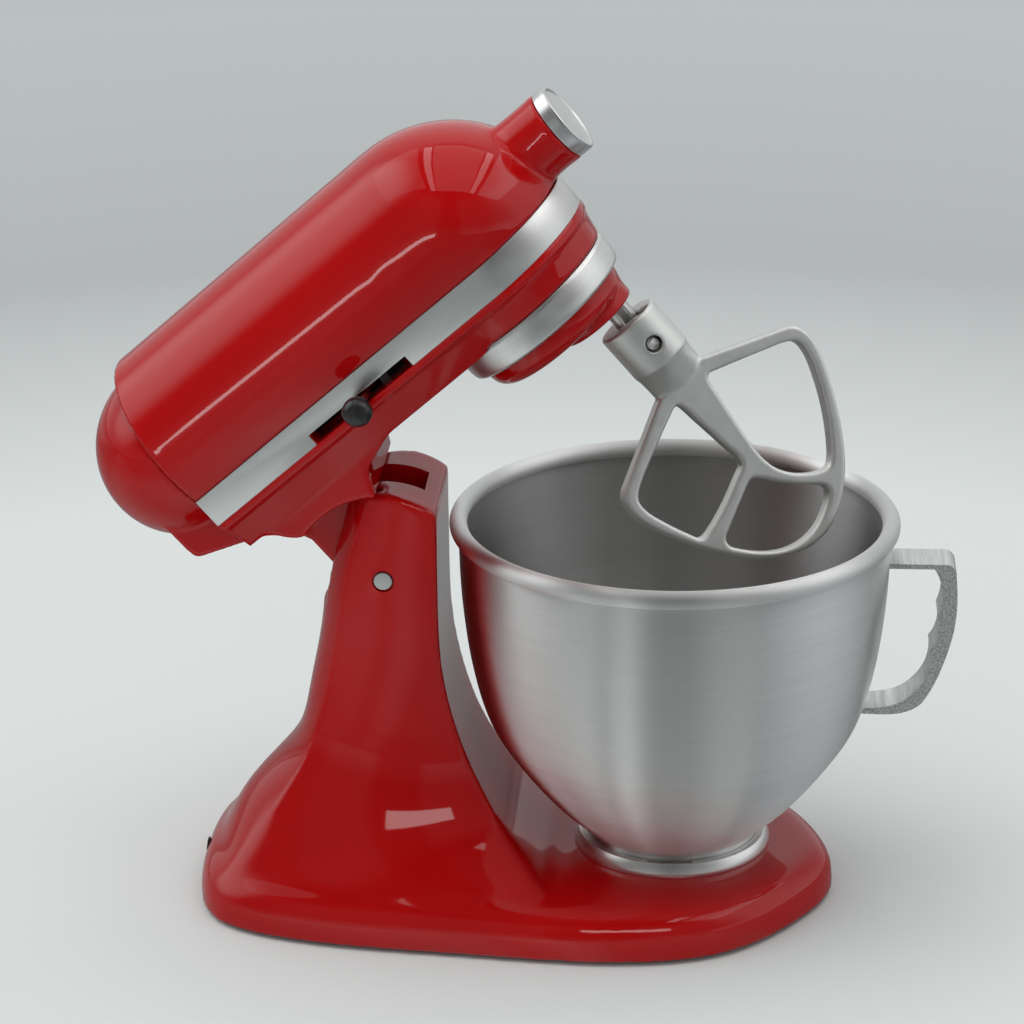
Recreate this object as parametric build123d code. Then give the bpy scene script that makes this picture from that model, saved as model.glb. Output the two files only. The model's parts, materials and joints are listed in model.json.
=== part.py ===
"""Tilt-head stand mixer, modelled with its head tilted up and its flat beater fitted.

The row frame has +X towards the front (bowl) and +Z up, with the floor at z = 0. Pieces of the stand are
modelled about the bowl's axis. Pieces of the head are modelled in the head's own frame, with the hinge
axis at its origin, the motor axis along X and the beater shaft along Z, and are then tilted up as one.
"""
from build123d import *
import os
from math import acos, asin, atan2, cos, degrees, pi, radians, sin, sqrt, tan

# Stand, in millimetres about the bowl's axis
BOWL_AXIS_X = 74.90
BASE_WALL_FOOT = 2.0
BASE_TOP = 26.0
BASE_EDGE_R = 14.0
COLUMN_HALF = 37.4
COLUMN_FRONT = -117.8
HINGE_X = -145.0
HINGE_Z = 181.2
COLUMN_CROWN_R = 45.0
STAND_WALL = 6.0
SLOT_HALF = 13.1
SLOT_FRONT = HINGE_X + 19.6
HINGE_PIN_R = 5.0
PIN_RUNNING_GAP = 0.05
FOOT_R = 11.0
FOOT_STEM_R = 4.0
FOOT_SPOTS = [(58, 0), (-20, 78), (-20, -78), (-205, 58), (-205, -58)]
GLAND_Z = 11.0
GLAND_R = 5.0
GLAND_FLANGE = 2.5
REAR_WALL = -246.0
SET_SCREW_Y = 25.0
SET_SCREW_R = 2.5
# Half of the base's floor outline from its front to its rear: distance forwards and to the side
BASE_OUTLINE = [
    (83.5, 0), (67, 46.5), (25, 88), (-25, 99.4), (-106, 94), (-190, 82.5), (-232, 62), (REAR_WALL, 0)]
INSET_POINTS = 24
# Sections of the column: height, front, half width in front, at the side, rear corner, half width there, rear
COLUMN_SECTIONS = [
    (12, -57, 84, 84.5, -229, 60, -240),
    (22, -60, 82, 83.5, -227.5, 58.5, -238.5),
    (28, -64, 76, 78.5, -225, 56.5, -236),
    (36, -72.5, 63, 71.5, -219, 53, -232),
    (50, -85, 48, 61, -208, 47, -223.5),
    (66, -95, 41, 52, -197.5, 41.5, -209.5),
    (84, -103.5, 38.3, 46, -187, 36.5, -195.5),
    (110, -111.8, COLUMN_HALF, 41.5, -178, 33.5, -188),
    (142, -117, COLUMN_HALF, 38.8, -171, 32, -181.5),
    (162, -117.7, COLUMN_HALF, 38.3, -168, 31.7, -178.7),
    (182, COLUMN_FRONT, COLUMN_HALF, 38.0, -164.5, 31.5, -175),
    (199, COLUMN_FRONT, COLUMN_HALF, 37.8, -160.5, 31.5, -170.8),
    (216, COLUMN_FRONT, COLUMN_HALF, 37.7, -156, 31.5, -166.2),
    (232, COLUMN_FRONT, COLUMN_HALF, 37.6, -151, 31.5, -161),
]
HOLLOW_SECTIONS = COLUMN_SECTIONS[0:9]
FLOOR_HOLLOW_TOP = 18.0

# Bowl and its bayonet ring
BOWL_RIM_R = 109.5
BOWL_RIM_Z = 203.0
BOWL_BEAD_R = 4.5
BOWL_SHEET = 1.4
BOWL_FOOT_R = 44.2
BOWL_FLOOR_Z = 36.0
RING_R = 50.8
RING_TOP = 33.1
RING_LIP = 2.4
RING_SCREW_R = 1.9
LUG_COUNT = 3
LUG_HALF_ANGLE = 13.0
LUG_R = 46.6
UNLOCK_ANGLE = 30.0
# Outer side of the bowl's wall from its foot to its rim: radius and height
BOWL_WALL = [(46.2, 37), (64.5, 54.5), (95.8, 100), (103.8, 130), (108.2, 165), (BOWL_RIM_R, 199)]
HANDLE_HALF = 11.0
HANDLE_GAP = 0.02
GRIP_SCALLOPS = 3

# Head, in its own frame
TILT = 40.84
HEAD_REAR = -38.0
HEAD_HALF = 53.2
BAND_LOW = 77.9
BAND_HIGH = 94.4
BAND_SHEET = 1.2
PLANET_U = 145.4
NOSE_LENGTH = 50.5
CROWN_V = 165.5
CROWN_END_U = 128.7
NOSE_ARC_R = 69.5
NOSE_ARC_V = 96.0
CASING_WALL = 3.5
ARCH_SINK = 0.39
AXIS_V = 114.5
HUB_R = 19.2
HUB_BORE_R = 15.5
HUB_END = 213.0
HUB_CAP_LENGTH = 7.5
HUB_SHAFT_R = 7.0
HUB_DRIVE_R = 6.0
HUB_KNOB_U = 203.0
HUB_SCREW_R = 3.0
LEVER_SLOT_U = (28.8, 92.4)
LEVER_SLOT_V = (77.9, 84.2)
LOCK_LEVER_U = 61.0
SPEED_LEVER_U = 35.0
KNOB_R = 7.5
LEVER_INNER_Y = 33.0
LOCK_BOLT_U = -5.0
LOCK_BOLT_Y = -24.0
LOCK_BOLT_R = 3.0
FLOOR_V = 80.0
FLOOR_STEP_U = 84.0

# Planetary drive
SHAFT_OFFSET = 28.8
SHAFT_R = 6.35
RING_TEETH = 64
PLANET_TEETH = 16
PLANET_MODULE = 1.2
RING_GEAR_R = 43.5
RING_GEAR_V = (62.0, 73.2)
CARRIER_R = 41.3
DRIP_RING_R = 47.0
DRIP_RING_V = (44.2, 59.5)
BUSH_R = 9.0
CENTRE_SHAFT_R = 7.0
BEARING_R = 13.0

# Beater and its bayonet
BEATER_TURN = 28.0
BEATER_UNLOCK = 40.0
COLLAR_R = 16.4
COLLAR_TOP = 17.7
COLLAR_FOOT = -9.0
PIN_V = 2.4
PIN_TURN = -68.0
SHAFT_PIN_R = 3.0
SLOT_GAP = 0.35
CHANNEL_R = 14.6
PIN_HOLE_R = 4.3
BLADE_HALF = 5.0
# Right half of the blade's outer edge from the shoulder to the tip: across and height
BLADE_EDGE = [
    (57, -41.3), (63.3, -46.6), (64.8, -56), (60.5, -71), (53, -87), (43.3, -103), (31.8, -117),
    (17, -127.8), (0, -132.6)]
RIGHT_WINDOW = [
    (13.5, -31), (30, -37.6), (45, -43.8), (53.5, -47.6), (57.6, -51.2), (58.4, -56.5), (55.6, -67),
    (50.2, -79), (43, -91.5), (34.5, -103), (30.2, -107.4), (27.3, -108.8), (24, -108.2), (16, -103),
    (9.6, -96.2), (5.8, -89), (4.4, -81), (4.9, -70), (7, -54), (9.3, -38), (10.3, -33),
    (11.6, -31.2)]
LEFT_WINDOW = [
    (-13.2, -30.8), (-27, -36), (-42, -42), (-53.5, -47.4), (-57.6, -51), (-58.5, -56.5), (-56.2, -66),
    (-52.4, -76.5), (-49.2, -84), (-47.4, -87.2), (-45, -88.5), (-41, -88.3), (-31.4, -86), (-17.1, -81),
    (-9.5, -78), (-6.4, -76.4), (-5.2, -73.5), (-5.6, -66), (-6.9, -54), (-8.6, -38), (-9.4, -33),
    (-10.8, -31)]
LOW_WINDOW = [
    (-6.5, -85.2), (-3, -88.6), (1, -94.5), (6.8, -101.6), (13, -108.4), (18, -113.4), (19.2, -116),
    (18, -118.6), (12, -122.8), (1, -126.6), (-9.4, -126.2), (-20, -121.8), (-30.2, -113), (-37, -104.2),
    (-38.8, -100.2), (-37.8, -97.3), (-34, -95), (-25.3, -91.4), (-15, -87.2), (-10, -85.2)]
BLADE_WINDOWS = (RIGHT_WINDOW, LEFT_WINDOW, LOW_WINDOW)
BLADE_ROUNDING = 1.6
NECK_FOOT = -26.0

# Motor
MOTOR_R = 44.0
MOTOR_U = (2.0, 48.0)
ARMATURE_R = 22.0

# Gear train from the motor
PRESSURE_ANGLE = 20.0
JACK_MODULE = 2.0
JACK_TEETH = 14
CENTRE_TEETH = 42
WORM_R = 7.0
WORM_MODULE = 1.5
WHEEL_TEETH = 30
BEVEL_TEETH = 18
BEVEL_MODULE = 2.0
BACKLASH = 0.3
WORM_TURN = 90.0
JACK_SHAFT_R = 4.0
# Bevel tooth: half widths at root and tip, depth below and height above the pitch cone
BEVEL_TOOTH = (1.35, 0.55, 3.6, 1.3)

PLANET_AXIS = (PLANET_U, 0)
SHAFT_U = PLANET_U + SHAFT_OFFSET
WHEEL_R = WORM_MODULE * WHEEL_TEETH / 2
JACK_Y = WORM_R + WHEEL_R
JACK_DISTANCE = JACK_MODULE * (JACK_TEETH + CENTRE_TEETH) / 2
JACK_U = PLANET_U - sqrt(JACK_DISTANCE**2 - JACK_Y**2)
SIDE_PLANE = Plane.XZ


def cylinder(x, y, low, high, radius):
    """Upright cylinder between two heights."""
    return Pos(x, y, low) * Cylinder(radius, high - low, align=(Align.CENTER, Align.CENTER, Align.MIN))


def ring(x, y, low, high, outer, inner):
    """Upright tube between two heights."""
    return cylinder(x, y, low, high, outer) - cylinder(x, y, low, high, inner)


def along_x(shape, y, z):
    """Turns an upright shape so that its own height runs along X."""
    return Pos(0, y, z) * Rot(0, 90, 0) * shape


def rod_x(low, high, y, z, radius):
    """Cylinder along X."""
    return along_x(cylinder(0, 0, low, high, radius), y, z)


def tube_x(low, high, y, z, outer, inner):
    """Tube along X."""
    return rod_x(low, high, y, z, outer) - rod_x(low, high, y, z, inner)


def rod_y(x, z, low, high, radius):
    """Cylinder along Y."""
    return Pos(x, 0, z) * Rot(-90, 0, 0) * cylinder(0, 0, low, high, radius)


def block(low, high):
    """Box between two corners."""
    size = [b - a for a, b in zip(low, high)]
    return Pos(*low) * Box(*size, align=(Align.MIN, Align.MIN, Align.MIN))


def side_plate(points, half):
    """Plate with a side-view outline, the same distance either side of the middle plane."""
    outline = SIDE_PLANE * make_face(Polyline(*points, close=True))
    return extrude(outline, amount=half, both=True)


def save(name, shape, in_head=False):
    """Moves a finished piece into the row frame and writes it as one node."""
    shape = Compound(children=list(shape)) if isinstance(shape, list) else shape
    if in_head:
        shape = Pos(HINGE_X, 0, HINGE_Z) * Rot(0, -TILT, 0) * shape
    export_step(Pos(BOWL_AXIS_X, 0, 0) * shape, f"parts/{name}.step")


# Gears
def involute(angle):
    return tan(angle) - angle


def tooth_half_angle(radius, pitch_r, half_at_pitch):
    """Half the angle that an involute tooth fills at a radius."""
    pressure = radians(PRESSURE_ANGLE)
    base = pitch_r * cos(pressure)
    at = acos(min(1, base / max(radius, base)))
    return half_at_pitch + involute(pressure) - involute(at)


def gear_outline(teeth, module, play, root_r, tip_r):
    """Face of a spur gear with involute flanks, each one arc, thinned by the given play."""
    pitch_r = module * teeth / 2
    half_at_pitch = (pi * module - play) / (4 * pitch_r)

    def at(radius, angle):
        return (radius * cos(angle), radius * sin(angle))

    radii = (root_r, (root_r + tip_r) / 2, tip_r)
    halves = [tooth_half_angle(r, pitch_r, half_at_pitch) for r in radii]
    step = 2 * pi / teeth
    edges = []
    for tooth in range(teeth):
        middle = tooth * step
        rising = [at(r, middle - h) for r, h in zip(radii, halves)]
        falling = [at(r, middle + h) for r, h in zip(radii, halves)]
        edges.append(ThreePointArc(*rising))
        edges.append(Line(rising[-1], falling[-1]))
        edges.append(ThreePointArc(*reversed(falling)))
        edges.append(Line(falling[0], at(root_r, middle + step - halves[0])))
    return make_face(edges)


def spur_gear(teeth, module, low, high, bore_r, turn=0):
    """Spur gear about Z."""
    pitch_r = module * teeth / 2
    face = gear_outline(teeth, module, BACKLASH, pitch_r - 1.25 * module, pitch_r + 0.9 * module)
    gear = extrude(Rot(0, 0, turn) * face, amount=high - low)
    return Pos(0, 0, low) * gear - cylinder(0, 0, low, high, bore_r)


def bevel_gear(bore_r, hub_length, turn=0):
    """Mitre gear about Z whose cone has its point at the origin, with straight teeth below it."""
    pitch_r = BEVEL_MODULE * BEVEL_TEETH / 2
    inner = 0.68
    body = make_face(Polyline(
        (bore_r, -pitch_r * inner - 2.2), (pitch_r * inner - 2.2, -pitch_r * inner - 2.2),
        (pitch_r - 2.2, -pitch_r - 2.2), (pitch_r - 4, -pitch_r - 5.5),
        (bore_r + 4, -pitch_r - 5.5), (bore_r + 4, -pitch_r - 5.5 - hub_length),
        (bore_r, -pitch_r - 5.5 - hub_length), close=True))
    gear = revolve(Plane.XZ * body, axis=Axis.Z)
    ends = []
    for size in (1.0, inner):
        reach = pitch_r * size
        face_plane = Plane(origin=(reach, 0, -reach), x_dir=(0, 1, 0), z_dir=(1, 0, -1))
        half_root, half_tip, depth, height = (size * part for part in BEVEL_TOOTH)
        ends.append(face_plane * make_face(Polyline(
            (-half_root, -depth), (half_root, -depth), (half_tip, height), (-half_tip, height), close=True)))
    tooth = loft(ends)
    teeth = [Rot(0, 0, turn + 360 / BEVEL_TEETH * i) * tooth for i in range(BEVEL_TEETH)]
    return gear.fuse(*teeth)


# Stand
def moved_in(curve, inset, low, high, count):
    """Points along a curve, each moved to the curve's left."""
    points = []
    for i in range(count):
        at = low + (high - low) * i / (count - 1)
        along = curve.tangent_at(at)
        points.append(curve.position_at(at) + Vector(-along.Y, along.X) * inset)
    return points


def base_outline(inset=0):
    """Floor outline of the base, round in front and narrowing to blunt rear corners."""
    near = [(x, -y) for x, y in reversed(BASE_OUTLINE[1:-1])]
    edge = Spline(*BASE_OUTLINE, *near, periodic=True)
    if inset > 0:
        edge = Spline(*moved_in(edge, inset, 0, 1 - 1 / INSET_POINTS, INSET_POINTS), periodic=True)
    return make_face(edge)


def column_section(z, front, half_front, half_side, corner, half_rear, rear, inset=0):
    """Horizontal section of the column: flat front, bowed sides and a bowed rear."""
    front -= inset
    half_front -= inset
    corner += inset
    half_rear -= inset
    rear += inset
    middle = ((front + corner) / 2, half_side - inset)
    near_middle = (middle[0], -middle[1])
    edges = [
        Line((front, -half_front), (front, half_front)),
        ThreePointArc((front, half_front), middle, (corner, half_rear)),
        ThreePointArc((corner, half_rear), (rear, 0), (corner, -half_rear)),
        ThreePointArc((corner, -half_rear), near_middle, (front, -half_front)),
    ]
    return Pos(0, 0, z) * make_face(edges)


def hinge_rod(radius, half=80.0):
    """Cylinder about the hinge axis, in the stand's frame."""
    return Pos(HINGE_X, 0, HINGE_Z) * rod_y(0, 0, -half, half, radius)


def pedestal():
    """Hollow base and column in one casting, slotted at the top for the head's tongue."""
    slab = Pos(0, 0, BASE_WALL_FOOT) * extrude(base_outline(), amount=BASE_TOP - BASE_WALL_FOOT)
    slab = fillet(slab.edges().group_by(Axis.Z)[-1], BASE_EDGE_R)
    column = loft([column_section(*s) for s in COLUMN_SECTIONS])
    crown = hinge_rod(COLUMN_CROWN_R) + block((-300, -120, 0), (0, 120, HINGE_Z + 20))
    body = slab + (column & crown)
    slot_low = HINGE_Z - 21
    slot = block((HINGE_X - 60, -SLOT_HALF, slot_low), (SLOT_FRONT, SLOT_HALF, HINGE_Z + 60))
    bolt_hole = cylinder(HINGE_X + LOCK_BOLT_U, LOCK_BOLT_Y, HINGE_Z + 30, HINGE_Z + 60, LOCK_BOLT_R + 0.4)
    hollow = loft([column_section(*s, inset=STAND_WALL) for s in HOLLOW_SECTIONS], ruled=True)
    floor_hollow = extrude(base_outline(STAND_WALL), amount=FLOOR_HOLLOW_TOP)
    screws = [cylinder(*spot, BASE_TOP - 8, BASE_TOP, RING_SCREW_R + 0.03) for spot in ring_screw_spots()]
    screw_hole = rod_x(HINGE_X - 45, HINGE_X, SET_SCREW_Y, HINGE_Z, SET_SCREW_R)
    body = body - slot - hinge_rod(HINGE_PIN_R) - bolt_hole - hollow - floor_hollow
    boss = cylinder(0, 0, BASE_WALL_FOOT + 3, BASE_TOP - STAND_WALL, RING_R)
    gland_hole = rod_x(REAR_WALL - 5, REAR_WALL + 30, 0, GLAND_Z, GLAND_R)
    gland_face = rod_x(REAR_WALL - 5, REAR_WALL + 1.5, 0, GLAND_Z, GLAND_R + GLAND_FLANGE)
    return body + boss - screws - gland_hole - gland_face - screw_hole


def cord_gland():
    """Strain relief in the rear wall, ending at its mouth."""
    face = REAR_WALL + 1.5
    sleeve = rod_x(face, face + 11, 0, GLAND_Z, GLAND_R)
    flange = rod_x(face - 1.4, face, 0, GLAND_Z, GLAND_R + GLAND_FLANGE)
    flange = fillet(flange.edges().group_by(Axis.X)[0], 0.6)
    return sleeve + flange - rod_x(face - 5, face + 20, 0, GLAND_Z, 3.2)


def base_plate():
    """Flat cover under the hollow base."""
    plate = extrude(base_outline(STAND_WALL + 0.2), amount=3.0)
    return Pos(0, 0, BASE_WALL_FOOT) * plate - [cylinder(*s, 0, 9, FOOT_STEM_R + 0.03) for s in FOOT_SPOTS]


def foot(x, y):
    """Rubber foot with a stem through the base plate."""
    pad = fillet(cylinder(x, y, 0, BASE_WALL_FOOT, FOOT_R).edges().group_by(Axis.Z)[0], 0.8)
    return pad + cylinder(x, y, 0.5, BASE_WALL_FOOT + 3, FOOT_STEM_R)


def set_screw():
    """Grub screw in the column's rear that keeps the hinge pin from walking out."""
    screw = rod_x(HINGE_X - 22, HINGE_X - HINGE_PIN_R, SET_SCREW_Y, HINGE_Z, SET_SCREW_R)
    socket = extrude(RegularPolygon(1.2, 6), amount=2.0)
    return screw - along_x(Pos(0, 0, HINGE_X - 22) * socket, SET_SCREW_Y, HINGE_Z)


def hinge_pin():
    pin = hinge_rod(HINGE_PIN_R, COLUMN_HALF)
    return chamfer(pin.edges().filter_by(GeomType.CIRCLE), 0.6)


def polar(radius, angle):
    return (radius * cos(radians(angle)), radius * sin(radians(angle)))


def ring_screw_spots():
    return [polar(RING_R - 9, 60 + 120 * i) for i in range(LUG_COUNT)]


def sector(radius, low, high, middle, half):
    """Upright wedge of a disc about the bowl's axis."""
    points = [(0, 0), polar(radius, middle - half), polar(radius * 1.1, middle), polar(radius, middle + half)]
    return Pos(0, 0, low) * extrude(make_face(Polyline(*points, close=True)), amount=high - low)


def clamp_ring():
    """Bayonet ring on the base, with a sloping shoulder, an inner lip and three ways in for the lugs."""
    lip_r = BOWL_FOOT_R + 0.5
    pocket_r = LUG_R + 0.5
    low = BASE_TOP
    profile = make_face(Polyline(
        (30, low), (RING_R, low), (RING_R, low + 2.4), (pocket_r + 1.4, RING_TOP), (lip_r, RING_TOP),
        (lip_r, RING_TOP - RING_LIP), (pocket_r, RING_TOP - RING_LIP), (pocket_r, low + 0.8), (30, low + 0.8),
        close=True))
    body = revolve(Plane.XZ * profile, axis=Axis.Z)
    for i in range(LUG_COUNT):
        way_in = sector(90, low + 0.8, RING_TOP + 1, 120 * i + UNLOCK_ANGLE, LUG_HALF_ANGLE + 1.5)
        body -= way_in & cylinder(0, 0, low, RING_TOP + 1, pocket_r)
    return body - [cylinder(*spot, low - 1, RING_TOP, RING_SCREW_R + 0.1) for spot in ring_screw_spots()]


def ring_screws():
    """Countersunk heads are left flat: three screws that hold the ring down."""
    return [cylinder(*spot, BASE_TOP - 8, BASE_TOP + 0.8, RING_SCREW_R) for spot in ring_screw_spots()]


# Bowl
def bowl_skin(gap=0):
    """Everything inside the bowl's outer surface, or inside one a gap further out."""
    points = [(r + gap, z) for r, z in BOWL_WALL]
    wall = Spline(*points)
    low, high = points[0], points[-1]
    face = make_face([wall, Line(high, (0, high[1])), Line((0, high[1]), (0, low[1])), Line((0, low[1]), low)])
    return revolve(Plane.XZ * face, axis=Axis.Z)


def bowl():
    """Spun steel bowl with a rolled bead and a foot that carries the bayonet lugs."""
    floor = BOWL_FLOOR_Z + 2.5
    mouth = BOWL_RIM_R - BOWL_SHEET
    inner = [(30, floor), (62.6, 54.9), (94.2, 100.4), (102.4, 130.2), (106.8, 165), (mouth, 199)]
    hollow = make_face([
        Line((0, floor), inner[0]), Spline(*inner, tangents=((1, 0), (0.04, 1))), Line(inner[-1], (mouth, 215)),
        Line((mouth, 215), (0, 215)), Line((0, 215), (0, floor))])
    shell = bowl_skin() - revolve(Plane.XZ * hollow, axis=Axis.Z)
    foot_low = BASE_TOP + 1.2
    foot_ring = ring(0, 0, foot_low, floor - 0.1, BOWL_FOOT_R, BOWL_FOOT_R - 2.0)
    bead = revolve(Plane.XZ * (Pos(BOWL_RIM_R, BOWL_RIM_Z) * Circle(BOWL_BEAD_R)), axis=Axis.Z)
    body = shell + foot_ring + bead
    for i in range(LUG_COUNT):
        lug = sector(90, foot_low, RING_TOP - RING_LIP - 0.5, 120 * i, LUG_HALF_ANGLE)
        body += lug & ring(0, 0, foot_low, RING_TOP, LUG_R, BOWL_FOOT_R - 1)
    return body


def bowl_handle():
    """Cast strap handle, thin where it leaves the bowl, with finger scallops inside the grip."""
    top = [(96, 185), (136.2, 185), (141, 183.2), (142.4, 178.5)]
    back = [top[-1], (143.3, 165), (142, 148.4), (138.1, 133.2), (132.3, 118), (127, 109)]
    tail = [back[-1], (119.5, 104.2), (108.7, 102.4), (92, 102.6)]
    cusps = [(131.4, 182.4), (133.6, 157), (130.2, 138), (122, 113.7)]
    hollows = [(135.7, 169), (134.3, 147.5), (129.8, 126.6)]
    inner_tail = [cusps[-1], (114.8, 108.6), (104, 106.0), (92, 105.8)]
    grip = [ThreePointArc(cusps[i], hollows[i], cusps[i + 1]) for i in range(GRIP_SCALLOPS)]
    outline = make_face([
        Line(top[0], top[1]), ThreePointArc(top[1], top[2], top[3]), Spline(*back), Spline(*tail),
        Line(tail[-1], inner_tail[-1]), Spline(*inner_tail), *grip,
        Line(cusps[0], (96, 182.4)), Line((96, 182.4), top[0])])
    strap = extrude(SIDE_PLANE * outline, amount=HANDLE_HALF, both=True)
    return strap - bowl_skin(HANDLE_GAP)


# Head casings


def plan_outline(inset=0):
    """Plan of the head: straight sides and a half-elliptical nose."""
    half = HEAD_HALF - inset
    nose = NOSE_LENGTH - inset
    rear = HEAD_REAR + (inset if inset > BAND_SHEET else 0)
    return make_face([
        Line((rear, -half), (PLANET_U, -half)),
        EllipticalCenterArc((PLANET_U, 0), nose, half, start_angle=-90, arc_size=180),
        Line((PLANET_U, half), (rear, half)),
        Line((rear, half), (rear, -half))])


def plan_solid(inset, low, high):
    return Pos(0, 0, low) * extrude(plan_outline(inset), amount=high - low)


def arch_section(u, half, crown):
    """Upright section of the upper casing: most of an ellipse, cut off level at the trim band."""
    rise = (crown - BAND_HIGH) / (1 + ARCH_SINK)
    width = half / sqrt(1 - ARCH_SINK**2)
    centre = (0, BAND_HIGH + ARCH_SINK * rise)
    dip = degrees(asin(ARCH_SINK))
    arc = EllipticalCenterArc(centre, width, rise, start_angle=-dip, arc_size=180 + 2 * dip)
    return Plane(origin=(u, 0, 0), x_dir=(0, 1, 0), z_dir=(1, 0, 0)) * make_face([arc, Line(arc @ 1, arc @ 0)])


def arch_at(u, inset):
    """Section of the upper casing at a place along the head."""
    beyond = max(0, u + inset - PLANET_U)
    half = HEAD_HALF * sqrt(1 - (beyond / NOSE_LENGTH)**2) - inset
    over = max(0, u + inset - CROWN_END_U)
    crown = CROWN_V if over == 0 else NOSE_ARC_V + sqrt(NOSE_ARC_R**2 - over**2)
    return arch_section(u, half, crown - inset)


def upper_solid(inset, rear, stations):
    """Arched body of the head from the rear seam to the nose."""
    straight = extrude(arch_at(rear, inset), amount=stations[0] - rear)
    return straight + loft([arch_at(u, inset) for u in stations])


def motor_housing():
    """Upper casing with the attachment hub cast on its nose."""
    outer = upper_solid(0, HEAD_REAR, [105, 118, 130, 142, 154, 165, 175, 183, 189, 193, 195])
    inner = upper_solid(CASING_WALL, HEAD_REAR - 1, [105, 118, 130, 142, 154, 164, 172, 178])
    hub = rod_x(150, HUB_END, 0, AXIS_V, HUB_R)
    outer = outer + (hub - block((0, -60, 0), (250, 60, BAND_HIGH)))
    inner = inner - rod_x(173, HUB_END, 0, AXIS_V, HUB_R)
    bore = rod_x(186, HUB_END + 1, 0, AXIS_V, HUB_BORE_R)
    shaft_bore = rod_x(150, 190, 0, AXIS_V, HUB_SHAFT_R + 4)
    knob_hole = rod_y(HUB_KNOB_U, AXIS_V, 0, 40, HUB_SCREW_R + 0.2)
    return outer - inner - bore - shaft_bore - knob_hole


def gearcase_side():
    """Side view of the underside round the hinge, with its hollow that clears the column's crown."""
    clear_r = COLUMN_CROWN_R + 0.6
    back = (clear_r * cos(radians(107)), clear_r * sin(radians(107)))
    front = (clear_r * cos(radians(52)), clear_r * sin(radians(52)))
    top = (0, clear_r)
    return make_face([
        Line((-37, 64), (-36, 59.5)), Spline((-36, 59.5), (-24, 53), back, tangents=((1, -0.2), (1, -0.35))),
        ThreePointArc(back, top, front), Line(front, (33, 45.5)),
        Spline((33, 45.5), (44, 53), (60, 57), tangents=((0.3, 1), (1, 0))),
        Line((60, 57), (60, 64)), Line((60, 64), (-37, 64))])


def gearcase():
    """Lower casing: band seat, tapering sides, hinge tongue, lever slots and the neck over the beater."""
    seat = plan_solid(BAND_SHEET, BAND_LOW - 1, BAND_HIGH)
    lip = plan_solid(0, BAND_LOW - 4.5, BAND_LOW)
    taper = Pos(0, 0, BAND_LOW - 4) * extrude(plan_outline(2.8), amount=-17.0, taper=29)
    neck_top = Pos(PLANET_U, 0, BAND_LOW - 2) * Ellipse(NOSE_LENGTH - 0.6, HEAD_HALF - 0.8)
    neck_low = Pos(PLANET_U, 0, DRIP_RING_V[1]) * Circle(DRIP_RING_R - 0.3)
    neck = loft([neck_low, neck_top])
    hinge_boss = extrude(SIDE_PLANE * gearcase_side(), amount=40.5, both=True)
    tongue = block((-21.5, -12.7, 0), (18.5, 12.7, 62)) + rod_y(0, 0, -12.7, 12.7, 18.5)
    body = seat + lip + taper + neck + hinge_boss + tongue
    body -= rod_y(0, 0, -20, 20, HINGE_PIN_R + PIN_RUNNING_GAP)
    body -= block((HEAD_REAR + 4, -37, 62), (FLOOR_STEP_U, 37, BAND_HIGH))
    upper_room = plan_solid(4, FLOOR_V, BAND_HIGH) & block((FLOOR_STEP_U - 1, -80, 0), (220, 80, 120))
    body -= upper_room
    body -= cylinder(*PLANET_AXIS, 40, RING_GEAR_V[1], RING_GEAR_R)
    body -= cylinder(*PLANET_AXIS, RING_GEAR_V[1] - 1, FLOOR_V + 1, BEARING_R)
    body -= cylinder(*PLANET_AXIS, 40, DRIP_RING_V[1], DRIP_RING_R + 0.3)
    body -= cylinder(LOCK_BOLT_U, LOCK_BOLT_Y, 30, 64, LOCK_BOLT_R + 0.1)
    body -= cylinder(JACK_U, JACK_Y, FLOOR_V - 5.1, FLOOR_V + 1, JACK_SHAFT_R + PIN_RUNNING_GAP)
    body += block((MOTOR_U[0] + 3, -26, 61.5), (MOTOR_U[1] - 3, 26, 78))
    body -= rod_x(MOTOR_U[0], MOTOR_U[1], 0, AXIS_V, MOTOR_R)
    low, high = LEVER_SLOT_U
    for side in (-1, 1):
        slot = block((low, LEVER_INNER_Y - 0.5, LEVER_SLOT_V[0]), (high, 60, LEVER_SLOT_V[1]))
        body -= slot if side > 0 else mirror(slot, about=Plane.XZ)
    return body


def trim_band():
    """Bright strip round the head over the casings' joint, notched for both levers."""
    band = plan_solid(0, BAND_LOW, BAND_HIGH) - plan_solid(BAND_SHEET, BAND_LOW, BAND_HIGH)
    band -= block((HEAD_REAR - 5, -HEAD_HALF + BAND_SHEET, BAND_LOW), (0, HEAD_HALF - BAND_SHEET, BAND_HIGH))
    low, high = LEVER_SLOT_U
    return band - block((low, -80, BAND_LOW - 1), (high, 80, LEVER_SLOT_V[1]))


def rear_cover():
    """Domed end cover with a square-cut skirt below it."""
    dome = Pos(HEAD_REAR, 0, 112) * scale(Sphere(1), by=(46.8, 55.5, 45.5))
    skirt = side_plate([(HEAD_REAR, 60.5), (-61, 69.2), (-63.5, 72), (-64.5, 98), (HEAD_REAR, 98)], 40)
    keep = block((-120, -80, 40), (HEAD_REAR, 80, 170))
    room = Pos(HEAD_REAR, 0, 112) * scale(Sphere(1), by=(42.8, 51.5, 41.5))
    post = rod_x(-90, HEAD_REAR, 0, 128, 7)
    body = ((dome & keep) + skirt) - room + (post & dome & keep)
    return body - rod_x(-100, HEAD_REAR + 1, 0, 128, 2.2) - rod_x(-100, -72, 0, 128, 4.5)


def cover_screw():
    head = rod_x(-74.5, -72, 0, 128, 4.2)
    return head + rod_x(-72, HEAD_REAR, 0, 128, 2.2) - block((-76, -0.6, 122), (-73.4, 0.6, 134))


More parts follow.
